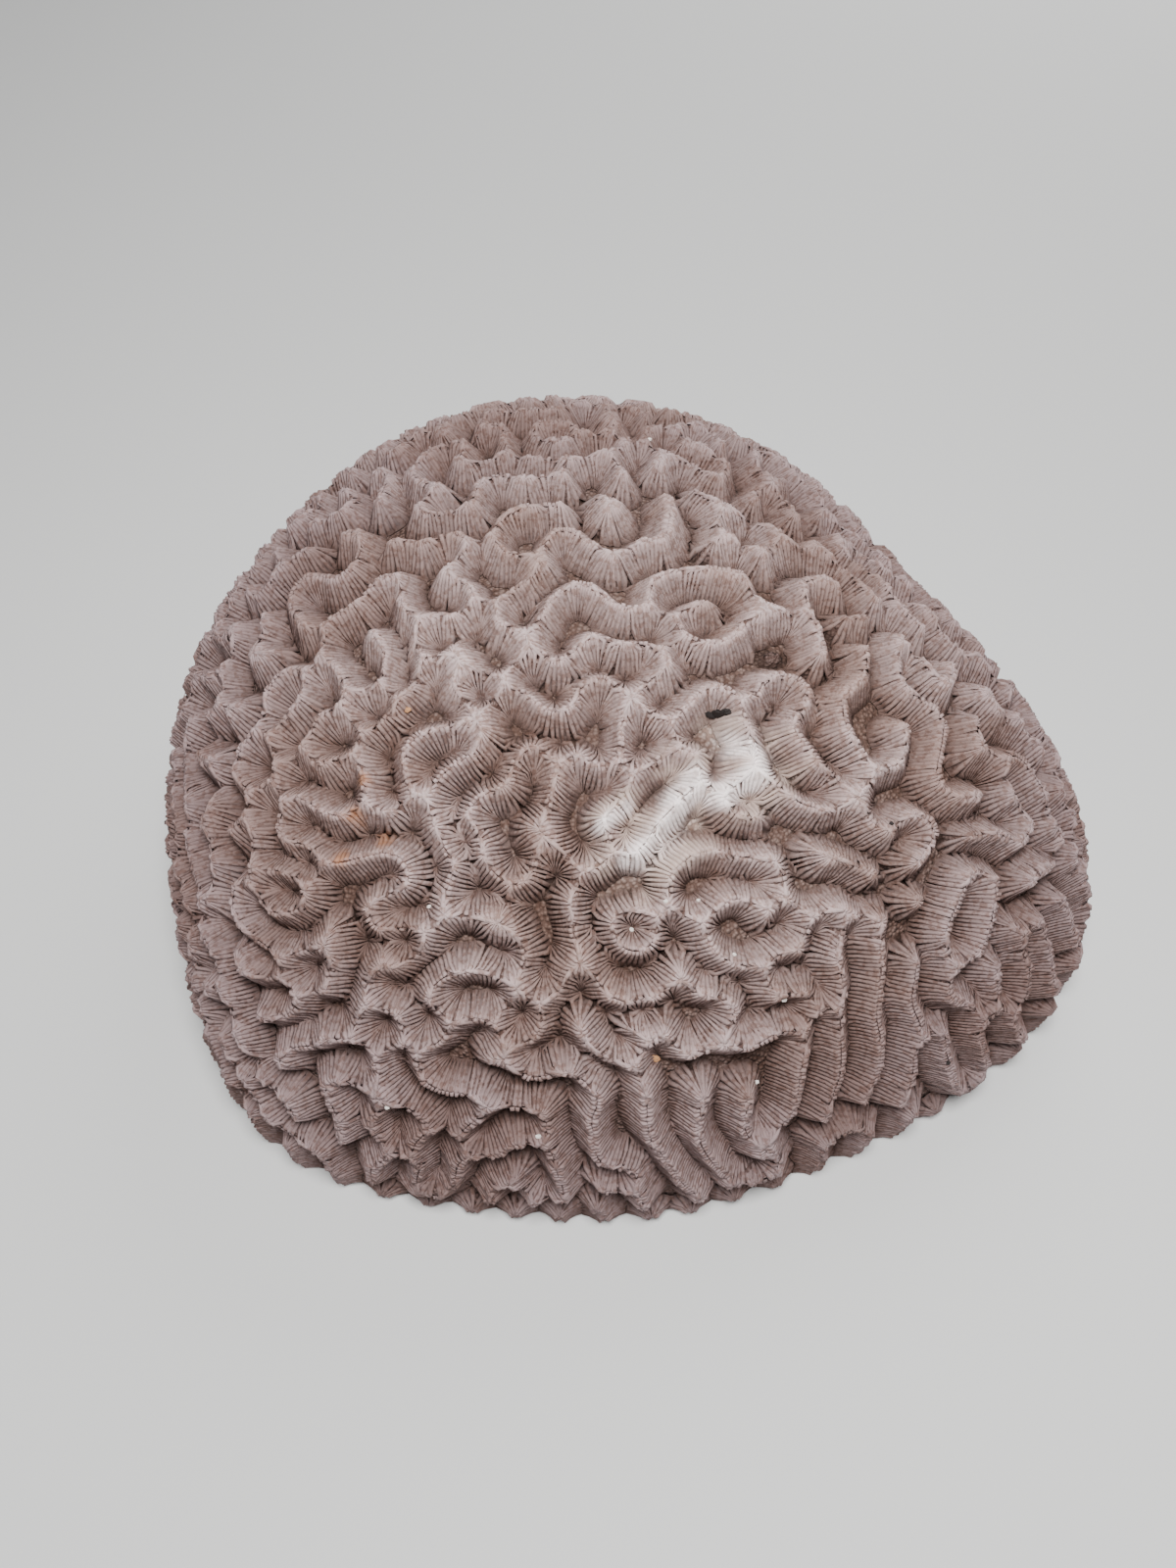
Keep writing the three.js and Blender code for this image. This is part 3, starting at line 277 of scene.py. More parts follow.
# Slots between the septa, by how far down the flank they are.
CREST_SLOT = 0.35
FLANK_SLOT = 1.8
VALLEY_SLOT = 0.45
CLOSED_SHARE = 0.35  # share of the crest slot's depth that is left where the crests are filled in
SLOT_START = 0.12
SLOT_DELAY = 0.16  # the slots start this much further down where the crests are filled in
SLOT_DEEPENING = 0.45
SLOT_END = 0.8
OPEN_PLACE = (-7.0, -28.0)  # chart place around which the slots are open up to the crests
OPEN_REACH = 34.0

# Worn, bleached crests: a line in chart units and its reach.
BLEACHED = [
    ([(14, -28.7), (12.8, -30.1), (11.8, -31.6), (12, -32.8), (10.1, -35.3), (8.6, -36.7),
      (7.4, -38)], 1.9),
    ([(20.3, -24.6), (20, -26.1), (19, -27.6), (17.5, -29), (16.1, -30.1)], 1.6),
    ([(16.5, -23.6), (17.4, -24.3), (18.5, -24.3), (19.5, -24.1)], 1.3),
    ([(6.8, -32.2), (5.4, -33.3), (4, -34.4)], 0.8),
]
BLEACHED_FADE = (2.1, 1.9)  # amount in the middle, and how much less it is at the reach
HALO_REACH = 2.6  # the warm tint around a bleached crest reaches this many times as far

# Rusty stains: chart place and reach.
STAINS = [(-20.6, -30.4, 0.9), (-18.2, -33.6, 0.8), (-22.6, -34.8, 0.8), (-19.2, -27.1, 0.7)]
STAIN_MIDDLE = 1.5

# Grit and dirt lying on the coral: chart place, then length, width and height in mm.
WHITE_GRAINS = [
    (10.8, -41.9, 0.9, 0.7, 0.6),
    (7.5, -45.5, 0.8, 0.8, 0.6),
    (14.9, -41.6, 0.7, 0.6, 0.5),
    (19.4, -47.6, 0.8, 0.6, 0.6),
    (27, -53.1, 1, 0.8, 0.7),
    (27.6, -68, 0.9, 0.8, 0.6),
    (-14.8, -42, 0.8, 0.7, 0.6),
    (-5.9, -77.9, 1, 0.8, 0.7),
    (-27.5, -69.8, 0.9, 0.8, 0.6),
    (10.1, 17.9, 1, 0.8, 0.7),
]
DARK_BITS = [
    (14.9, -20.7, 2.4, 1.2, 1.6),
    (15.6, -20.55, 2.4, 0.9, 3.4),
    (16.3, -20.4, 2, 1, 1.4),
    (33.7, -28.4, 0.9, 0.8, 0.6),
    (61.8, -61.2, 0.9, 0.8, 0.6),
]
LEAF_BITS = [(11.3, -64, 2.4, 1.3, 0.4), (-14.5, -20.4, 1.3, 1, 0.5)]
HAIR = [(-4.1, -12.7), (-3.6, -12.5), (-3.1, -12.1), (-2.6, -11.8), (-2.2, -11.3)]
HAIR_RADIUS = 0.13
HAIR_LIFT = 0.5
HAIR_SIDES = 6
LUMP_RINGS = 7
LUMP_SIDES = 12
LUMP_UNEVEN = (0.8, 0.4)  # least radius, and how much more it can be
LUMP_LIFT = 0.5  # of half its height
LUMP_SEED = 31

# Body mesh.
BODY_CELLS = 300
BODY_BELOW = 0.25  # the body stays this far under the slots
BODY_LOWEST = 0.5

# Colours, linear: stops run from the crest (0) to the valley floor (1). The darkening down the flanks is
# partly the browner valley colour and partly painted shade.
WALL_STOPS = [(0.0, (0.42, 0.315, 0.3)), (0.35, (0.22, 0.15, 0.135)), (0.7, (0.07, 0.042, 0.034)),
              (0.93, (0.13, 0.085, 0.07)), (1.0, (0.22, 0.15, 0.128))]
BLADE_STOPS = [(0.0, (0.53, 0.412, 0.398)), (0.1, (0.49, 0.368, 0.352)), (0.24, (0.39, 0.287, 0.27)),
               (0.65, (0.33, 0.237, 0.219)), (0.85, (0.24, 0.163, 0.145)), (1.0, (0.17, 0.11, 0.094))]
FOOT_SHADE = [(0.0, 0.4), (0.55, 0.78), (1.0, 1.0)]  # by how shallow the slot is
BLADE_LUCK = [(0.0, 0.8), (1.0, 1.0)]
WORN_STOPS = [(0.5, 1.0), (0.95, 0.25)]
PORE_STOPS = [(0.1, 1.0), (0.75, 0.0)]
# Painted shade in the pits, darker where they are deeper.
PORE_SHADE = [(0.1, (0.35, 0.27, 0.23)), (0.7, 1.0)]
# Grime and painted shade: the colour darkens away from a place near the middle, partly dirt and partly
# standing in for light falling off towards the sides.
CLEAN_AND_LIT_PLACE = (8.0, -27.0)
GRIME_AND_SHADE_REACH = (14.0, 60.0)
GRIME_AND_SHADE_TINT = (0.66, 0.63, 0.65)
BACK_LESS_GRIME_AND_SHADE = 0.75  # the far side has this much less grime and painted shade
BACK_BAND = (10, 60)  # from one chart y to the other
HALO_COLOR = (0.60, 0.47, 0.41)
BLEACHED_COLOR = (0.97, 0.86, 0.84)
STAIN_COLOR = (0.38, 0.16, 0.07)
WHITE_GRAIN_COLOR = (0.72, 0.66, 0.61)
DARK_BIT_COLOR = (0.014, 0.009, 0.008)
LEAF_BIT_COLOR = (0.40, 0.20, 0.09)
HAIR_COLOR = (0.035, 0.02, 0.015)

# Noises: scale, detail and stops. Each amount says how much of a tint is mixed in.
PATCHES = (45, 6, [(0.42, (0.72, 0.65, 0.6)), (0.52, (0.93, 0.92, 0.92)), (0.6, 1.0)])
SPECKS = (1000, 3, [(0.4, (0.62, 0.53, 0.48)), (0.5, 1.0)])
HALO = (160, 4, [(0.4, 0.1), (0.55, 0.75)])
BROKEN = (420, 5, [(0.36, 0.45), (0.48, 1.0)])
GRAIN = (1500, 3)
PORE_SCALE = 1300
PATCH_AMOUNT = 0.85
SPECK_AMOUNT = 0.8
STAIN_AMOUNT = 0.7
PORE_AMOUNT = 0.75
CORAL_ROUGHNESS = 0.85
CORAL_SPECULAR = 0.25
BITS_ROUGHNESS = 0.8
BLADE_BUMP = 0.35
WALL_BUMP = 1.0
BUMP_HEIGHT = 0.0005  # metres

# Camera, fitted to the photograph.
CAMERA_TARGET = (1.1, -6.4, 30.0)
CAMERA_DISTANCE = 263.0
CAMERA_ELEVATION = 54.0
CAMERA_LENS = 29.25
CAMERA_SENSOR = 36
CAMERA_NEAR = 0.01

# Floor and light: place in metres, width in metres and power in watts.
FLOOR_REACH = 12.0
FLOOR_COLOR = (0.62, 0.62, 0.61)
FLOOR_ROUGHNESS = 0.9
WORLD_COLOR = (0.96, 0.97, 1.0)
WORLD_STRENGTH = 0.22
KEY_LIGHT = ((0.0, -0.16, 0.46), 0.18, 3.8)
FILL_LIGHT = ((0.3, 0.65, 0.45), 0.8, 6.0)


def bell(azimuth, at, width):
    """1 at one azimuth, falling off to 0 on both sides."""
    turn = (azimuth - at + 180) % 360 - 180
    return np.exp(-(turn / width) ** 2)


def rim_radius(azimuth):
    radius = RIM_RADIUS
    for at, width, out in RIM_SWELLS:
        radius = radius + out * bell(azimuth, at, width)
    return radius


def dome_point(cx, cy):
    """The point of the smooth dome that the crests touch, for a place on the chart."""
    polar = 2 * np.arctan(np.hypot(cx, cy) / CHART_SCALE)
    azimuth = np.degrees(np.arctan2(cy, cx))
    sine = np.sin(polar)
    cosine = np.cos(polar)
    power = FULLNESS - LOBE_SLACK * bell(azimuth, LOBE_AZIMUTH, LOBE_SLACK_WIDTH)
    swell = (np.abs(sine) ** power + np.abs(cosine) ** power) ** (-1 / power)
    radius = rim_radius(azimuth) * swell * sine
    rise = swell * cosine
    lean = np.clip(rise, 0, 1)
    x = radius * np.cos(azimuth * DEGREE) + APEX_SHIFT[0] * lean
    y = radius * np.sin(azimuth * DEGREE) + APEX_SHIFT[1] * lean
    z = WIDEST_HEIGHT + (DOME_TOP - WIDEST_HEIGHT) * rise
    return np.stack([x, y, z], -1)


def dome_tangents(cx, cy):
    """How far the dome runs on per unit of chart, along x and along y."""
    nudge = 0.05
    along = (dome_point(cx + nudge, cy) - dome_point(cx - nudge, cy)) / (2 * nudge)
    across = (dome_point(cx, cy + nudge) - dome_point(cx, cy - nudge)) / (2 * nudge)
    return along, across


def unit(vectors):
    return vectors / np.maximum(np.linalg.norm(vectors, axis=-1, keepdims=True), TINY)


def dome_normal(cx, cy):
    return unit(np.cross(*dome_tangents(cx, cy)))


def placed(points):
    """Millimetres in the dome's own frame to metres in the part's frame."""
    return (points + np.array([*CENTRE_SHIFT, 0])) * MM


def chart_grid():
    axis = np.arange(CHART_SIZE) * CHART_STEP - CHART_REACH
    return np.meshgrid(axis, axis)


def spread(field, areas, amount):
    """Spreads a field over the dome as heat would spread; amount is in mm2."""
    steps = math.ceil(amount / (SPREAD_STEP * areas.min()))
    rate = (amount / steps) / areas[1:-1, 1:-1]
    now = field.copy()
    for _ in range(steps):
        middle = now[1:-1, 1:-1]
        around = now[2:, 1:-1] + now[:-2, 1:-1] + now[1:-1, 2:] + now[1:-1, :-2]
        now[1:-1, 1:-1] = middle + rate * (around - 4 * middle)
        now[0] = now[1]
        now[-1] = now[-2]
        now[:, 0] = now[:, 1]
        now[:, -1] = now[:, -2]
    return now


def speckle(i, j):
    """A number from 0 to 1 that follows from two whole numbers, but looks random."""
    value = np.sin(i * SPECKLE_TURNS[0] + j * SPECKLE_TURNS[1]) * SPECKLE_GAIN
    return value - np.floor(value)


def from_stretch(x, y, dx, dy):
    """Distance of a place from the straight stretch between (0, 0) and (dx, dy)."""
    t = np.clip((x * dx + y * dy) / max(dx * dx + dy * dy, TINY_SQUARE), 0, 1)
    return np.sqrt((x - t * dx) ** 2 + (y - t * dy) ** 2)


def line_distance(cx, cy, lines, reach):
    """Chart distance from each grid point to the nearest of the lines, as far as reach."""
    nearest = np.full(cx.shape, FAR)
    for line in lines:
        for (x0, y0), (x1, y1) in zip(line[:-1], line[1:]):
            rows = chart_span(min(y0, y1) - reach, max(y0, y1) + reach)
            columns = chart_span(min(x0, x1) - reach, max(x0, x1) + reach)
            near = (rows, columns)
            away = from_stretch(cx[near] - x0, cy[near] - y0, x1 - x0, y1 - y0)
            nearest[near] = np.minimum(nearest[near], away)
    return nearest


def chart_span(low, high):
    """The grid's rows or columns between two chart coordinates."""
    first = max(0, int((low + CHART_REACH) / CHART_STEP))
    last = min(CHART_SIZE, int((high + CHART_REACH) / CHART_STEP) + 2)
    return slice(first, last)


def grow_walls(areas):
    """Wall field on the chart: how far in from the edge of a wall, in mm, less than 0 in a valley."""
    cx, cy = chart_grid()
    scale = np.sqrt(areas) / CHART_STEP
    away = line_distance(cx, cy, WALL_ROUTES, ROUTE_REACH) * scale
    traced = np.clip((ROUTE_HOLD * WALL_SPACING - away) / (ROUTE_FADE * WALL_SPACING), 0, 1)
    held = np.cos(np.minimum(away, WALL_SPACING / 2) * 2 * math.pi / WALL_SPACING) * traced
    fine = FINE_SPREAD / (2 * math.pi / WALL_SPACING) ** 2
    coarse = COARSE_SPREAD * fine
    near_rim = np.clip((np.hypot(cx, cy) - RIM_BAND[0]) / RIM_BAND[1], 0, 1)
    teeth = np.cos(RIM_WALLS * np.arctan2(cy, cx)) * near_rim * (1 - traced)
    rows, columns = np.meshgrid(np.arange(CHART_SIZE), np.arange(CHART_SIZE), indexing="ij")
    field = speckle(rows, columns) * 2 - 1
    for _ in range(GROWTH_ROUNDS):
        finer = spread(field, areas, fine)
        coarser = spread(finer, areas, coarse - fine)
        field = np.tanh(GROWTH_GAIN * (finer - coarser) + RIM_PULL * teeth + ROUTE_PULL * held)
    inward = line_distance(cx, cy, level_lines(field), EDGE_REACH) * scale
    inward = np.minimum(inward, HIGHEST_WALL * WALL_SPACING / 4)
    return spread(np.where(field > 0, inward, -inward), areas, CREST_ROUNDING)


def read_field(field, cx, cy):
    """The field at any place on the chart, between its grid points."""
    x = np.clip((cx + CHART_REACH) / CHART_STEP, 0, CHART_LAST)
    y = np.clip((cy + CHART_REACH) / CHART_STEP, 0, CHART_LAST)
    j = np.floor(x).astype(int)
    i = np.floor(y).astype(int)
    u = x - j
    v = y - i
    low = field[i, j] * (1 - u) + field[i, j + 1] * u
    high = field[i + 1, j] * (1 - u) + field[i + 1, j + 1] * u
    return low * (1 - v) + high * v


def flank(wall):
    """0 on a crest, 1 on a valley floor, in proportion to the depth."""
    out = np.clip((WALL_SPACING / 4 - wall) / (WALL_SPACING / 4 + FLOOR_EDGE), 0, 1)
    return out ** CREST_BREADTH


def valley_depth(envelope):
    """Depth of the valleys, which get shallower just above the cut base."""
    share = RIM_RELIEF + (1 - RIM_RELIEF) * ease(0, RIM_RELIEF_HEIGHT, envelope[..., 2])
    return VALLEY_DEPTH * share


def ease(low, high, value):
    """0 up to low, 1 from high on, and smooth between them."""
    t = np.clip((value - low) / (high - low), 0, 1)
    return t * t * (3 - 2 * t)


def away_from(place, cx, cy):
    return np.hypot(cx - place[0], cy - place[1])


def openness(cx, cy):
    """1 where the slots run up to the crests, near 0 where the crests are filled in."""
    return np.exp(-(away_from(OPEN_PLACE, cx, cy) / OPEN_REACH) ** 2)


def slot_depth(down, opened):
    """How far the wall lies below the septa's edges, for a place on the flank."""
    crest = CREST_SLOT * (CLOSED_SHARE + (1 - CLOSED_SHARE) * opened)
    start = SLOT_START + SLOT_DELAY * (1 - opened)
    depth = crest + (FLANK_SLOT - crest) * ease(start, start + SLOT_DEEPENING, down)
    return depth + (VALLEY_SLOT - FLANK_SLOT) * ease(SLOT_END, 1.0, down)


def add_object(name, data):
    made = bpy.data.objects.new(name, data)
    bpy.context.scene.collection.objects.link(made)
    return made


def new_mesh_object(name, vertices, faces, attributes):
    mesh = bpy.data.meshes.new(name)
    mesh.vertices.add(len(vertices))
    mesh.vertices.foreach_set("co", np.asarray(vertices, np.float32).ravel())
    sides = faces.shape[1]
    mesh.loops.add(faces.size)
    mesh.loops.foreach_set("vertex_index", faces.astype(np.int32).ravel())
    mesh.polygons.add(len(faces))
    mesh.polygons.foreach_set("loop_start", np.arange(0, faces.size, sides, dtype=np.int32))
    mesh.update(calc_edges=True)
    for key, values in attributes.items():
        layer = mesh.attributes.new(key, "FLOAT", "POINT")
        layer.data.foreach_set("value", np.asarray(values, np.float32))
    mesh.validate()
    return add_object(name, mesh)


def disc_chart(cells):
    """A square grid bent onto the chart, evenly spaced over the dome."""
    axis = np.linspace(-1, 1, cells + 1)
    u, v = np.meshgrid(axis, axis)
    wide = np.abs(u) >= np.abs(v)
    radius = np.where(wide, u, v)
    with np.errstate(divide="ignore", invalid="ignore"):
        ratio = np.where(wide, v / u, u / v)
    ratio = np.nan_to_num(ratio) * math.pi / 4
    x = radius * np.where(wide, np.cos(ratio), np.sin(ratio))
    y = radius * np.where(wide, np.sin(ratio), np.cos(ratio))
    reach = np.hypot(x, y)
    widest_angle = 2 * math.atan(CHART_CUT / CHART_SCALE)
    chart = CHART_SCALE * np.tan(reach * widest_angle / 2)
    scale = np.where(reach > 0, chart / np.maximum(reach, TINY), 0)
    return x * scale, y * scale


def build_body(walls):
    """The walls and valleys below the septa, down to the flat cut base."""
    cx, cy = disc_chart(BODY_CELLS)
    down = flank(read_field(walls, cx, cy))
    envelope = dome_point(cx, cy)
    depth = valley_depth(envelope) * down + slot_depth(down, openness(cx, cy)) + BODY_BELOW
    points = envelope - dome_normal(cx, cy) * depth[..., None]
    edge = np.zeros(cx.shape, bool)
    edge[0] = edge[-1] = True
    edge[:, 0] = edge[:, -1] = True
    points[..., 2] = np.where(edge, 0, np.maximum(points[..., 2], BODY_LOWEST))
    side = BODY_CELLS + 1
    index = np.arange(side * side).reshape(side, side)
    corners = [index[:-1, :-1], index[:-1, 1:], index[1:, 1:], index[1:, :-1]]
    quads = np.stack(corners, -1).reshape(-1, 4)
    body = new_mesh_object("coral_body", placed(points.reshape(-1, 3)), quads, marks(cx, cy, down))
    loop = np.concatenate([index[0, :-1], index[:-1, -1], index[-1, :0:-1], index[:0:-1, 0]])
    body.data.polygons.foreach_set("use_smooth", np.ones(len(body.data.polygons), bool))
    close_underside(body, loop)
    return body


def close_underside(body, loop):
    """A flat fan of triangles over the cut base."""
    mesh = bmesh.new()
    mesh.from_mesh(body.data)
    centre = mesh.verts.new(placed(np.zeros(3)))
    mesh.verts.ensure_lookup_table()
    for a, b in zip(loop, np.roll(loop, -1)):
        face = mesh.faces.new((mesh.verts[int(b)], mesh.verts[int(a)], centre))
        face.smooth = False
    mesh.to_mesh(body.data)
    mesh.free()


def edge_crossings(field):
    """Where the field is 0 on the edges of the grid: h runs along x and v along y."""
    cx, cy = chart_grid()
    high = field > 0
    crossings = {}
    for way, di, dj in (("h", 0, 1), ("v", 1, 0)):
        nearer = high[:CHART_SIZE - di, :CHART_SIZE - dj]
        for i, j in zip(*np.nonzero(nearer != high[di:, dj:])):
            t = CHART_STEP * (field[i, j] / (field[i, j] - field[i + di, j + dj]))
            crossings[(way, i, j)] = (cx[i, j] + dj * t, cy[i, j] + di * t)
    return crossings


def cell_links(field, crossings):
    """The neighbours of each crossing, across the cells of the grid."""
    high = field > 0
    across = high[:, :-1] != high[:, 1:]
    along = high[:-1, :] != high[1:, :]
    busy = across[:-1, :] | across[1:, :] | along[:, :-1] | along[:, 1:]
    middles = field[:-1, :-1] + field[:-1, 1:] + field[1:, :-1] + field[1:, 1:]
    links = {key: [] for key in crossings}
    for i, j in zip(*np.nonzero(busy)):
        sides = [("h", i, j), ("v", i, j + 1), ("h", i + 1, j), ("v", i, j)]
        cut = [key for key in sides if key in crossings]
        if len(cut) == 2:
            pairs = [(cut[0], cut[1])]
        elif (middles[i, j] > 0) == high[i, j]:
            pairs = [(sides[0], sides[1]), (sides[2], sides[3])]
        else:
            pairs = [(sides[0], sides[3]), (sides[1], sides[2])]
        for a, b in pairs:
            links[a].append(b)
            links[b].append(a)
    return links


def follow(start, links, seen):
    """The line from one crossing on, with its start repeated at the end where it is closed."""
    line = []
    here = start
    while here is not None:
        line.append(here)
        seen.add(here)
        here = next((key for key in links[here] if key not in seen), None)
    if len(line) >= SHORTEST_LINE and start in links[line[-1]]:
        line.append(start)
    return line


def level_lines(field):
    """Lines where the field is 0, as ordered chart points."""
    crossings = edge_crossings(field)
    links = cell_links(field, crossings)
    loose_ends = [key for key in links if len(links[key]) == 1]
    lines = []
    seen = set()
    for start in loose_ends + list(links):
        if start in seen:
            continue
        line = follow(start, links, seen)
        if len(line) >= SHORTEST_LINE:
            lines.append(np.array([crossings[key] for key in line]))
    return lines


def points_along(line, length, at):
    return np.stack([np.interp(at, length, line[:, 0]), np.interp(at, length, line[:, 1])], -1)


def septum_roots(walls):
    """Evenly spaced chart points along the flanks, with the line each belongs to."""
    roots = []
    owners = []
    for number, line in enumerate(level_lines(walls - SEPTUM_LEVEL)):
        points = dome_point(*line.T)
        length = np.concatenate([[0], np.cumsum(np.linalg.norm(np.diff(points, axis=0), axis=1))])
        count = int(round(length[-1] / SEPTUM_GAP))
        if count < SHORTEST_ROW:
            continue
        at = (np.arange(count) + 0.5) * length[-1] / count
        roots.append(points_along(line, length, at))
        owners.append(np.full(count, number))
    roots = np.concatenate(roots)
    owners = np.concatenate(owners)
    inside = np.hypot(*roots.T) < CHART_CUT - CUT_MARGIN
    return roots[inside], owners[inside]


def trace(walls, areas, roots, way):
    """Follows the steepest way up (+1) or down (-1) the flank from each root."""
    slope_y, slope_x = np.gradient(walls, CHART_STEP)
    scale = np.sqrt(areas) / CHART_STEP
    place = roots.copy()
    going = np.ones(len(roots), bool)
    before = None
    path = [place.copy()]

    def heading(at):
        return unit(np.stack([read_field(slope_x, *at.T), read_field(slope_y, *at.T)], -1) * way)

    for _ in range(SEPTUM_REACH):
        stride = SEPTUM_STEP / read_field(scale, *place.T)
        first = heading(place)
        second = heading(place + first * (stride / 2)[:, None])
        if before is not None:
            going &= (second * before).sum(1) > SHARPEST_TURN
            going &= (second * first).sum(1) > 0
        if way < 0:
            going &= read_field(walls, *place.T) > -SEPTUM_END
        before = second
        place = np.where(going[:, None], place + second * stride[:, None], place)
        path.append(place.copy())
    return np.stack(path, 1)


def septum_paths(walls, areas, roots):
    """Chart points of each septum's stations, from the crest to the valley floor."""
    up = trace(walls, areas, roots, 1)
    down = trace(walls, areas, roots, -1)
    whole = np.concatenate([up[:, ::-1], down[:, 1:]], 1)
    steps = np.linalg.norm(np.diff(whole, axis=1), axis=2)
    length = np.concatenate([np.zeros((len(whole), 1)), np.cumsum(steps, 1)], 1)
    paths = np.empty((len(whole), SEPTUM_STATIONS, 2))
    for k in range(len(whole)):
        keep = np.concatenate([[True], steps[k] > TINY_STEP])
        paths[k] = points_along(whole[k, keep], length[k, keep], SEPTUM_SHARES * length[k, -1])
    return paths


def ribbons(index):
    """Top and side faces of every blade, and its two ends. Corners 0 and 1 are at the top."""
    faces = []
    for a, b in ((0, 1), (1, 2), (3, 0)):
        strip = [index[:, :-1, a], index[:, 1:, a], index[:, 1:, b], index[:, :-1, b]]
        faces.append(np.stack(strip, -1).reshape(-1, 4))
    faces.append(index[:, 0].reshape(-1, 4))
    faces.append(index[:, -1, ::-1].reshape(-1, 4))
    return faces


def webs(index, to_right, joined):
    """Faces that join the feet of neighbouring blades, so the slots have a floor."""
    faces = []
    for right in (True, False):
        near, far = (2, 3) if right else (3, 2)
        pick = np.nonzero(joined & (to_right == right))[0]
        pick = pick[pick < len(index) - 1]
        here = index[pick][..., near]
        there = index[pick + 1][..., far]
        ring = [here[:, :-1], here[:, 1:], there[:, 1:], there[:, :-1]]
        if not right:
            ring = ring[::-1]
        faces.append(np.stack(ring, -1).reshape(-1, 4))
    return faces


def septum_depths(cx, cy, down, slot, luck):
    """How far the tops and the feet of the blades lie below the dome."""
    stations = np.arange(SEPTUM_STATIONS)[None, :]
    ripple = speckle(np.arange(len(cx))[:, None], stations + RIPPLE_SEED) - 0.5
    worn = bleaching(cx, cy, 1)
    from_tooth = SEPTUM_SHARES - (TOOTH_PLACE - TOOTH_SHIFT * openness(cx, cy))
    tooth = SEPTUM_TOOTH * (TOOTH_LEAST + luck) * np.exp(-(from_tooth / TOOTH_WIDTH) ** 2)
    rough = (tooth - RIPPLE * ripple * (SEPTUM_SHARES > RIPPLE_START)) * (1 - WORN_TEETH * worn)
    deep = valley_depth(dome_point(cx, cy)) * down
    return np.maximum(deep - rough, -TOOTH_TOP), deep + slot * (1 - WORN_SLOTS * worn)


def blade_corners(points, normal, side, gap, depths):
    """The four corners of every blade at each of its stations."""
    fill = SEPTUM_FILL[0] + (SEPTUM_FILL[1] - SEPTUM_FILL[0]) * SEPTUM_SHARES
    lean = side * (np.clip(gap * fill, SEPTUM_THINNEST, SEPTUM_THICKEST) / 2)[..., None]
    top, foot = [points - normal * depth[..., None] for depth in depths]
    corners = np.stack([top - lean, top + lean, foot + lean, foot - lean], 2)
    corners[..., 2] = np.maximum(corners[..., 2], SEPTUM_LOWEST)
    return corners


def blade_marks(cx, cy, down, slot, luck):
    """Vertex attributes of the blades, for all their corners."""
    shape = (*cx.shape, BLADE_CORNERS)
    values = marks(*[np.broadcast_to(value[..., None], shape) for value in (cx, cy, down)])
    high = np.ones(shape)
    high[..., 2:] = (1 - slot / FLANK_SLOT)[..., None]
    values["top"] = high.ravel()
    values["luck"] = np.broadcast_to(luck[..., None], shape).ravel()
    return values


def build_septa(walls, areas):
    """All the blades, with webs between neighbours, in a few pieces."""
    roots, owners = septum_roots(walls)
    paths = septum_paths(walls, areas, roots)
    cx, cy = np.moveaxis(paths, -1, 0)
    down = flank(read_field(walls, cx, cy))
    slot = slot_depth(down, openness(cx, cy))
    luck = speckle(np.arange(len(paths)), LUCK_SEED)[:, None]
    points = dome_point(cx, cy)
    normal = dome_normal(cx, cy)
    side = unit(np.cross(normal, np.gradient(points, axis=1)))
    ahead = np.roll(points, -1, axis=0) - points
    to_next = np.linalg.norm(ahead, axis=-1)
    same_next = owners == np.roll(owners, -1)
    gap = np.where(same_next[:, None], to_next, np.roll(to_next, 1, axis=0))
    corners = blade_corners(points, normal, side, gap, septum_depths(cx, cy, down, slot, luck))
    joined = same_next & (to_next.max(1) < WEB_REACH)
    to_right = (side * ahead).sum(-1).mean(1) > 0
    return blade_pieces(corners, to_right, joined, blade_marks(cx, cy, down, slot, luck))


def blade_pieces(corners, to_right, joined, values):
    """The blades as meshes, SEPTA_PER_PIECE in each."""
    pieces = []
    for first in range(0, len(corners), SEPTA_PER_PIECE):
        part = slice(first, min(first + SEPTA_PER_PIECE, len(corners)))
        amount = part.stop - part.start
        index = np.arange(amount * BLADE_POINTS).reshape(amount, SEPTUM_STATIONS, BLADE_CORNERS)
        faces = ribbons(index) + webs(index, to_right[part], joined[part])
        own = slice(part.start * BLADE_POINTS, part.stop * BLADE_POINTS)
        attributes = {key: value[own] for key, value in values.items()}
        name = "septa_%d" % (len(pieces) + 1)
        points = placed(corners[part].reshape(-1, 3))
        pieces.append(new_mesh_object(name, points, np.concatenate(faces), attributes))
    return pieces


def bleaching(cx, cy, wider):
    """1 where the crests are worn and bleached, 0 elsewhere."""
    worn = np.zeros(np.shape(cx))
    for route, reach in BLEACHED:
        for (x0, y0), (x1, y1) in zip(route[:-1], route[1:]):
            away = from_stretch(cx - x0, cy - y0, x1 - x0, y1 - y0) / (reach * wider)
            worn = np.maximum(worn, np.clip(BLEACHED_FADE[0] - BLEACHED_FADE[1] * away, 0, 1))
    return worn


def marks(cx, cy, down):
    """Vertex attributes that the materials read."""
    stain = np.zeros(np.shape(cx))
    for x, y, reach in STAINS:
        stain = np.maximum(stain, np.clip(STAIN_MIDDLE - away_from((x, y), cx, cy) / reach, 0, 1))
    # Grime and painted shade, darker away from the middle.
    grime_and_shade = ease(*GRIME_AND_SHADE_REACH, away_from(CLEAN_AND_LIT_PLACE, cx, cy))
    values = {
        "down": down,
        "worn": bleaching(cx, cy, 1),
        "halo": bleaching(cx, cy, HALO_REACH),
        "stain": stain,
        "grime_and_shade": grime_and_shade * (1 - BACK_LESS_GRIME_AND_SHADE * ease(*BACK_BAND, cy)),
    }
    return {key: value.ravel() for key, value in values.items()}


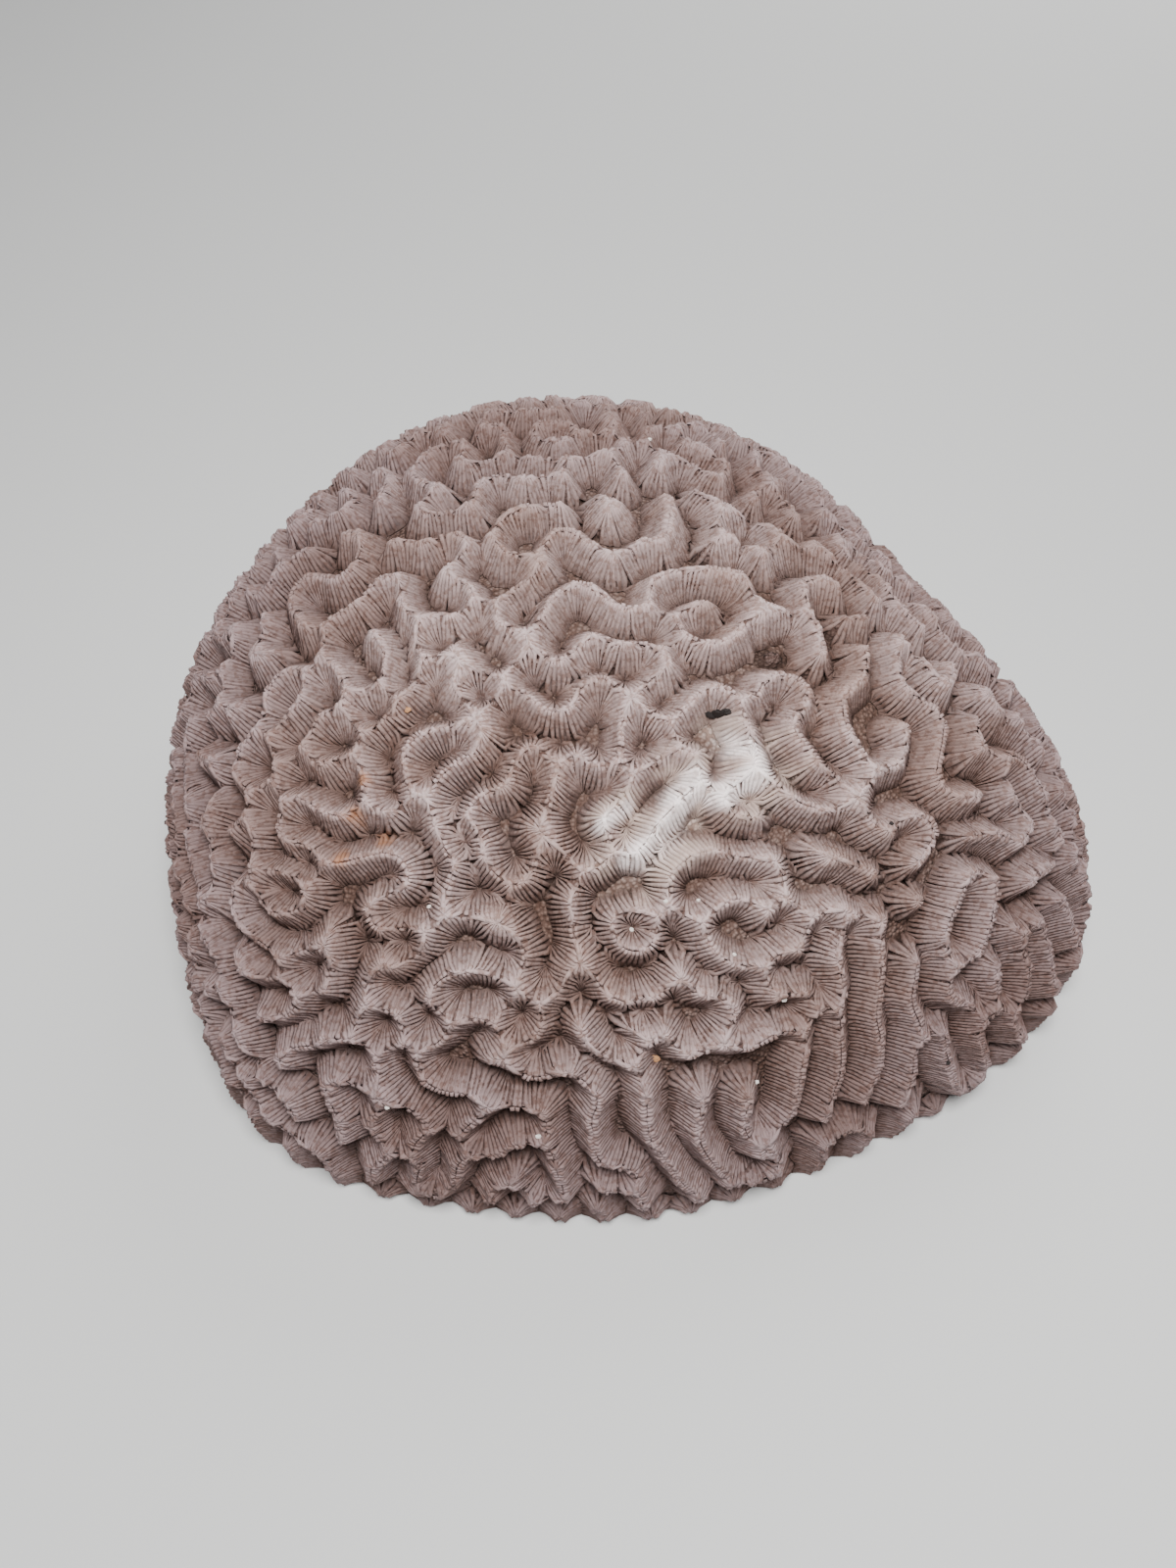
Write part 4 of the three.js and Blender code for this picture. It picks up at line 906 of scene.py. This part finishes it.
def node(tree, kind, inputs, **values):
    """A shader node. Each input gets a link from another node's socket, a number or a colour."""
    made = tree.nodes.new(kind)
    for key, value in values.items():
        setattr(made, key, value)
    for key, value in inputs.items():
        if isinstance(value, bpy.types.NodeSocket):
            tree.links.new(value, made.inputs[key])
        else:
            made.inputs[key].default_value = (*value, 1) if isinstance(value, tuple) else value
    return made


def attribute(tree, name):
    return node(tree, "ShaderNodeAttribute", {}, attribute_name=name).outputs["Fac"]


def ramp(tree, source, stops):
    """Colour ramp with stops of (position, colour or grey)."""
    made = node(tree, "ShaderNodeValToRGB", {0: source})
    elements = made.color_ramp.elements
    while len(elements) < len(stops):
        elements.new(0.5)
    for element, (position, color) in zip(elements, stops):
        element.position = position
        element.color = (*color, 1) if isinstance(color, tuple) else (color, color, color, 1)
    return made.outputs[0]


def mix(tree, way, amount, first, second):
    inputs = {0: amount, 6: first, 7: second}  # the sockets for colours
    return node(tree, "ShaderNodeMix", inputs, data_type="RGBA", blend_type=way).outputs[2]


def product(tree, first, second):
    return node(tree, "ShaderNodeMath", {0: first, 1: second}, operation="MULTIPLY").outputs[0]


def texture(tree, kind, **inputs):
    """A texture that is laid out in metres."""
    place = node(tree, "ShaderNodeTexCoord", {}).outputs["Object"]
    return node(tree, kind, {"Vector": place, **inputs})


def noise(tree, scale, detail):
    return texture(tree, "ShaderNodeTexNoise", Scale=scale, Detail=detail).outputs["Fac"]


def mottle(tree, scale, detail, stops):
    return ramp(tree, noise(tree, scale, detail), stops)


def coral_color(tree, flank_stops):
    """Colour by place on the flank, darker down it partly as painted shade, with patches, specks, grime
    and painted shade towards the sides, bleached crests and stains.
    """
    down = attribute(tree, "down")
    # Darker down the flank: partly the browner valley colour, partly painted shade in the valleys.
    color = ramp(tree, down, flank_stops)
    color = mix(tree, "MULTIPLY", PATCH_AMOUNT, color, mottle(tree, *PATCHES))
    color = mix(tree, "MULTIPLY", SPECK_AMOUNT, color, mottle(tree, *SPECKS))
    # Painted shade and grime: darker towards the sides.
    color = mix(tree, "MULTIPLY", attribute(tree, "grime_and_shade"), color, GRIME_AND_SHADE_TINT)
    halo = product(tree, attribute(tree, "halo"), mottle(tree, *HALO))
    color = mix(tree, "MIX", halo, color, HALO_COLOR)
    broken = mottle(tree, *BROKEN)
    high = ramp(tree, down, WORN_STOPS)
    worn = product(tree, product(tree, attribute(tree, "worn"), broken), high)
    color = mix(tree, "MIX", worn, color, BLEACHED_COLOR)
    stained = product(tree, attribute(tree, "stain"), broken)
    return mix(tree, "MIX", product(tree, stained, STAIN_AMOUNT), color, STAIN_COLOR)


def blade_surface(tree, color):
    """Darker feet and a shade of its own for each blade, and a fine grain."""
    foot = ramp(tree, attribute(tree, "top"), FOOT_SHADE)
    color = mix(tree, "MULTIPLY", 1.0, color, foot)
    own = ramp(tree, attribute(tree, "luck"), BLADE_LUCK)
    return mix(tree, "MULTIPLY", 1.0, color, own), noise(tree, *GRAIN)


def wall_surface(tree, color):
    """Pits, with painted shade in their depths."""
    pits = texture(tree, "ShaderNodeTexVoronoi", Scale=PORE_SCALE)
    height = ramp(tree, pits.outputs["Distance"], PORE_STOPS)
    # Painted shade: the deeper the pit, the darker.
    pit_shade = ramp(tree, height, PORE_SHADE)
    return mix(tree, "MULTIPLY", PORE_AMOUNT, color, pit_shade), height


def coral_material(name, flank_stops, surface, bump):
    material = bpy.data.materials.new(name)
    material.use_nodes = True
    tree = material.node_tree
    tree.nodes.clear()
    color, height = surface(tree, coral_color(tree, flank_stops))
    relief = {"Strength": bump, "Distance": BUMP_HEIGHT, "Height": height}
    look = {
        "Base Color": color,
        "Roughness": CORAL_ROUGHNESS,
        "Specular IOR Level": CORAL_SPECULAR,
        "Normal": node(tree, "ShaderNodeBump", relief).outputs[0],
    }
    shader = node(tree, "ShaderNodeBsdfPrincipled", look)
    node(tree, "ShaderNodeOutputMaterial", {0: shader.outputs[0]})
    return material


def plain_material(name, color, roughness):
    material = bpy.data.materials.new(name)
    material.use_nodes = True
    shader = material.node_tree.nodes["Principled BSDF"]
    shader.inputs["Base Color"].default_value = (*color, 1)
    shader.inputs["Roughness"].default_value = roughness
    return material


def lying_frame(cx, cy, walls):
    """Place on the relief, and the directions along x, along y and out of it."""
    envelope = dome_point(cx, cy)
    depth = valley_depth(envelope) * flank(read_field(walls, cx, cy))
    out = dome_normal(cx, cy)
    across = unit(dome_tangents(cx, cy)[0])
    return envelope - out * depth[..., None], across, np.cross(out, across), out


def closed_tube(index):
    """Faces around rings of points, given by their numbers, and over both ends."""
    beside = np.roll(index, -1, axis=1)
    sides = np.stack([index[1:], beside[1:], beside[:-1], index[:-1]], -1).reshape(-1, 4)
    return sides.tolist() + [index[0].tolist(), index[-1, ::-1].tolist()]


def add_bits(name, bits, color, walls):
    """Small uneven lumps, each sunk a little into the relief."""
    rings = np.arange(LUMP_RINGS)
    columns = np.arange(LUMP_SIDES)
    turn = 2 * math.pi * columns / LUMP_SIDES
    rise = math.pi * (rings + 0.5) / LUMP_RINGS
    points = []
    faces = []
    for number, (x, y, length, width, height) in enumerate(bits):
        base, across, up, out = lying_frame(np.array([x]), np.array([y]), walls)
        luck = speckle(rings[:, None] + LUMP_SEED * number, columns[None, :])
        uneven = LUMP_UNEVEN[0] + LUMP_UNEVEN[1] * luck
        ring = np.sin(rise)[:, None] * uneven
        lift = np.cos(rise)[:, None] * uneven + LUMP_LIFT
        along = (ring * np.cos(turn))[..., None] * across[0] * (length / 2)
        beside = (ring * np.sin(turn))[..., None] * up[0] * (width / 2)
        above = lift[..., None] * out[0] * (height / 2)
        index = np.arange(LUMP_RINGS * LUMP_SIDES) + len(points) * LUMP_RINGS * LUMP_SIDES
        faces += closed_tube(index.reshape(LUMP_RINGS, LUMP_SIDES))
        points.append((base[0] + along + beside + above).reshape(-1, 3))
    return lying_object(name, np.concatenate(points), faces, color)


def add_hair(walls):
    """A thin hair that lies on the relief."""
    cx, cy = np.array(HAIR).T
    base, _, up, out = lying_frame(cx, cy, walls)
    turn = 2 * math.pi * np.arange(HAIR_SIDES) / HAIR_SIDES
    ring = np.cos(turn)[None, :, None] * up[:, None] + np.sin(turn)[None, :, None] * out[:, None]
    points = base[:, None] + HAIR_LIFT * out[:, None] + HAIR_RADIUS * ring
    index = np.arange(len(cx) * HAIR_SIDES).reshape(len(cx), HAIR_SIDES)
    return lying_object("hair", points.reshape(-1, 3), closed_tube(index), HAIR_COLOR)


def lying_object(name, points, faces, color):
    mesh = bpy.data.meshes.new(name)
    mesh.from_pydata(placed(points).tolist(), [], faces)
    mesh.materials.append(plain_material(name, color, BITS_ROUGHNESS))
    return add_object(name, mesh)


def add_floor():
    mesh = bpy.data.meshes.new("floor")
    corners = [(x * FLOOR_REACH, y * FLOOR_REACH, 0) for x, y in ((-1, -1), (1, -1), (1, 1), (-1, 1))]
    mesh.from_pydata(corners, [], [(0, 1, 2, 3)])
    mesh.materials.append(plain_material("pale_floor", FLOOR_COLOR, FLOOR_ROUGHNESS))
    add_object("floor", mesh)


def add_world():
    world = bpy.data.worlds.new("soft_room")
    bpy.context.scene.world = world
    world.use_nodes = True
    background = world.node_tree.nodes["Background"]
    background.inputs[0].default_value = (*WORLD_COLOR, 1)
    background.inputs[1].default_value = WORLD_STRENGTH


def add_light(name, at, size, power):
    """A round lamp that shines at the middle of the base."""
    data = bpy.data.lights.new(name, "AREA")
    data.shape = "DISK"
    data.size = size
    data.energy = power
    light = add_object(name, data)
    light.location = at
    light.rotation_euler = (-Vector(at)).to_track_quat("-Z", "Y").to_euler()


def add_camera():
    data = bpy.data.cameras.new("camera")
    data.lens = CAMERA_LENS
    data.sensor_width = CAMERA_SENSOR
    data.clip_start = CAMERA_NEAR
    camera = add_object("camera", data)
    tilt = CAMERA_ELEVATION * DEGREE
    target = placed(np.array(CAMERA_TARGET))
    away = CAMERA_DISTANCE * MM
    back = away * math.cos(tilt)
    up = away * math.sin(tilt)
    camera.location = (target[0], target[1] - back, target[2] + up)
    camera.rotation_euler = (math.pi / 2 - tilt, 0, 0)
    bpy.context.scene.camera = camera


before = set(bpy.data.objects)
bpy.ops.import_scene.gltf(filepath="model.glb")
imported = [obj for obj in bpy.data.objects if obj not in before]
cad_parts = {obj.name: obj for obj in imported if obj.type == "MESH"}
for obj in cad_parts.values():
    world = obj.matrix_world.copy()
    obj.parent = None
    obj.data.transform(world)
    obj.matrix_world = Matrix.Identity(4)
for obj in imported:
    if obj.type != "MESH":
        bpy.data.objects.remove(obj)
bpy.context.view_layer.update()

add_camera()
add_floor()
add_world()
add_light("key", *KEY_LIGHT)
add_light("fill", *FILL_LIGHT)

cx, cy = chart_grid()
areas = np.linalg.norm(np.cross(*dome_tangents(cx, cy)), axis=-1) * CHART_STEP ** 2
walls = grow_walls(areas)

body = build_body(walls)
wall_material = coral_material("coral_wall", WALL_STOPS, wall_surface, WALL_BUMP)
body.data.materials.append(wall_material)
septa = build_septa(walls, areas)
blade_material = coral_material("coral_septa", BLADE_STOPS, blade_surface, BLADE_BUMP)
for piece in septa:
    piece.data.materials.append(blade_material)
lying = [
    add_bits("white_grains", WHITE_GRAINS, WHITE_GRAIN_COLOR, walls),
    add_bits("dark_bits", DARK_BITS, DARK_BIT_COLOR, walls),
    add_bits("leaf_bits", LEAF_BITS, LEAF_BIT_COLOR, walls),
    add_hair(walls),
]
for piece in [body] + septa + lying:
    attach(piece, "root")
    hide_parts("coral")
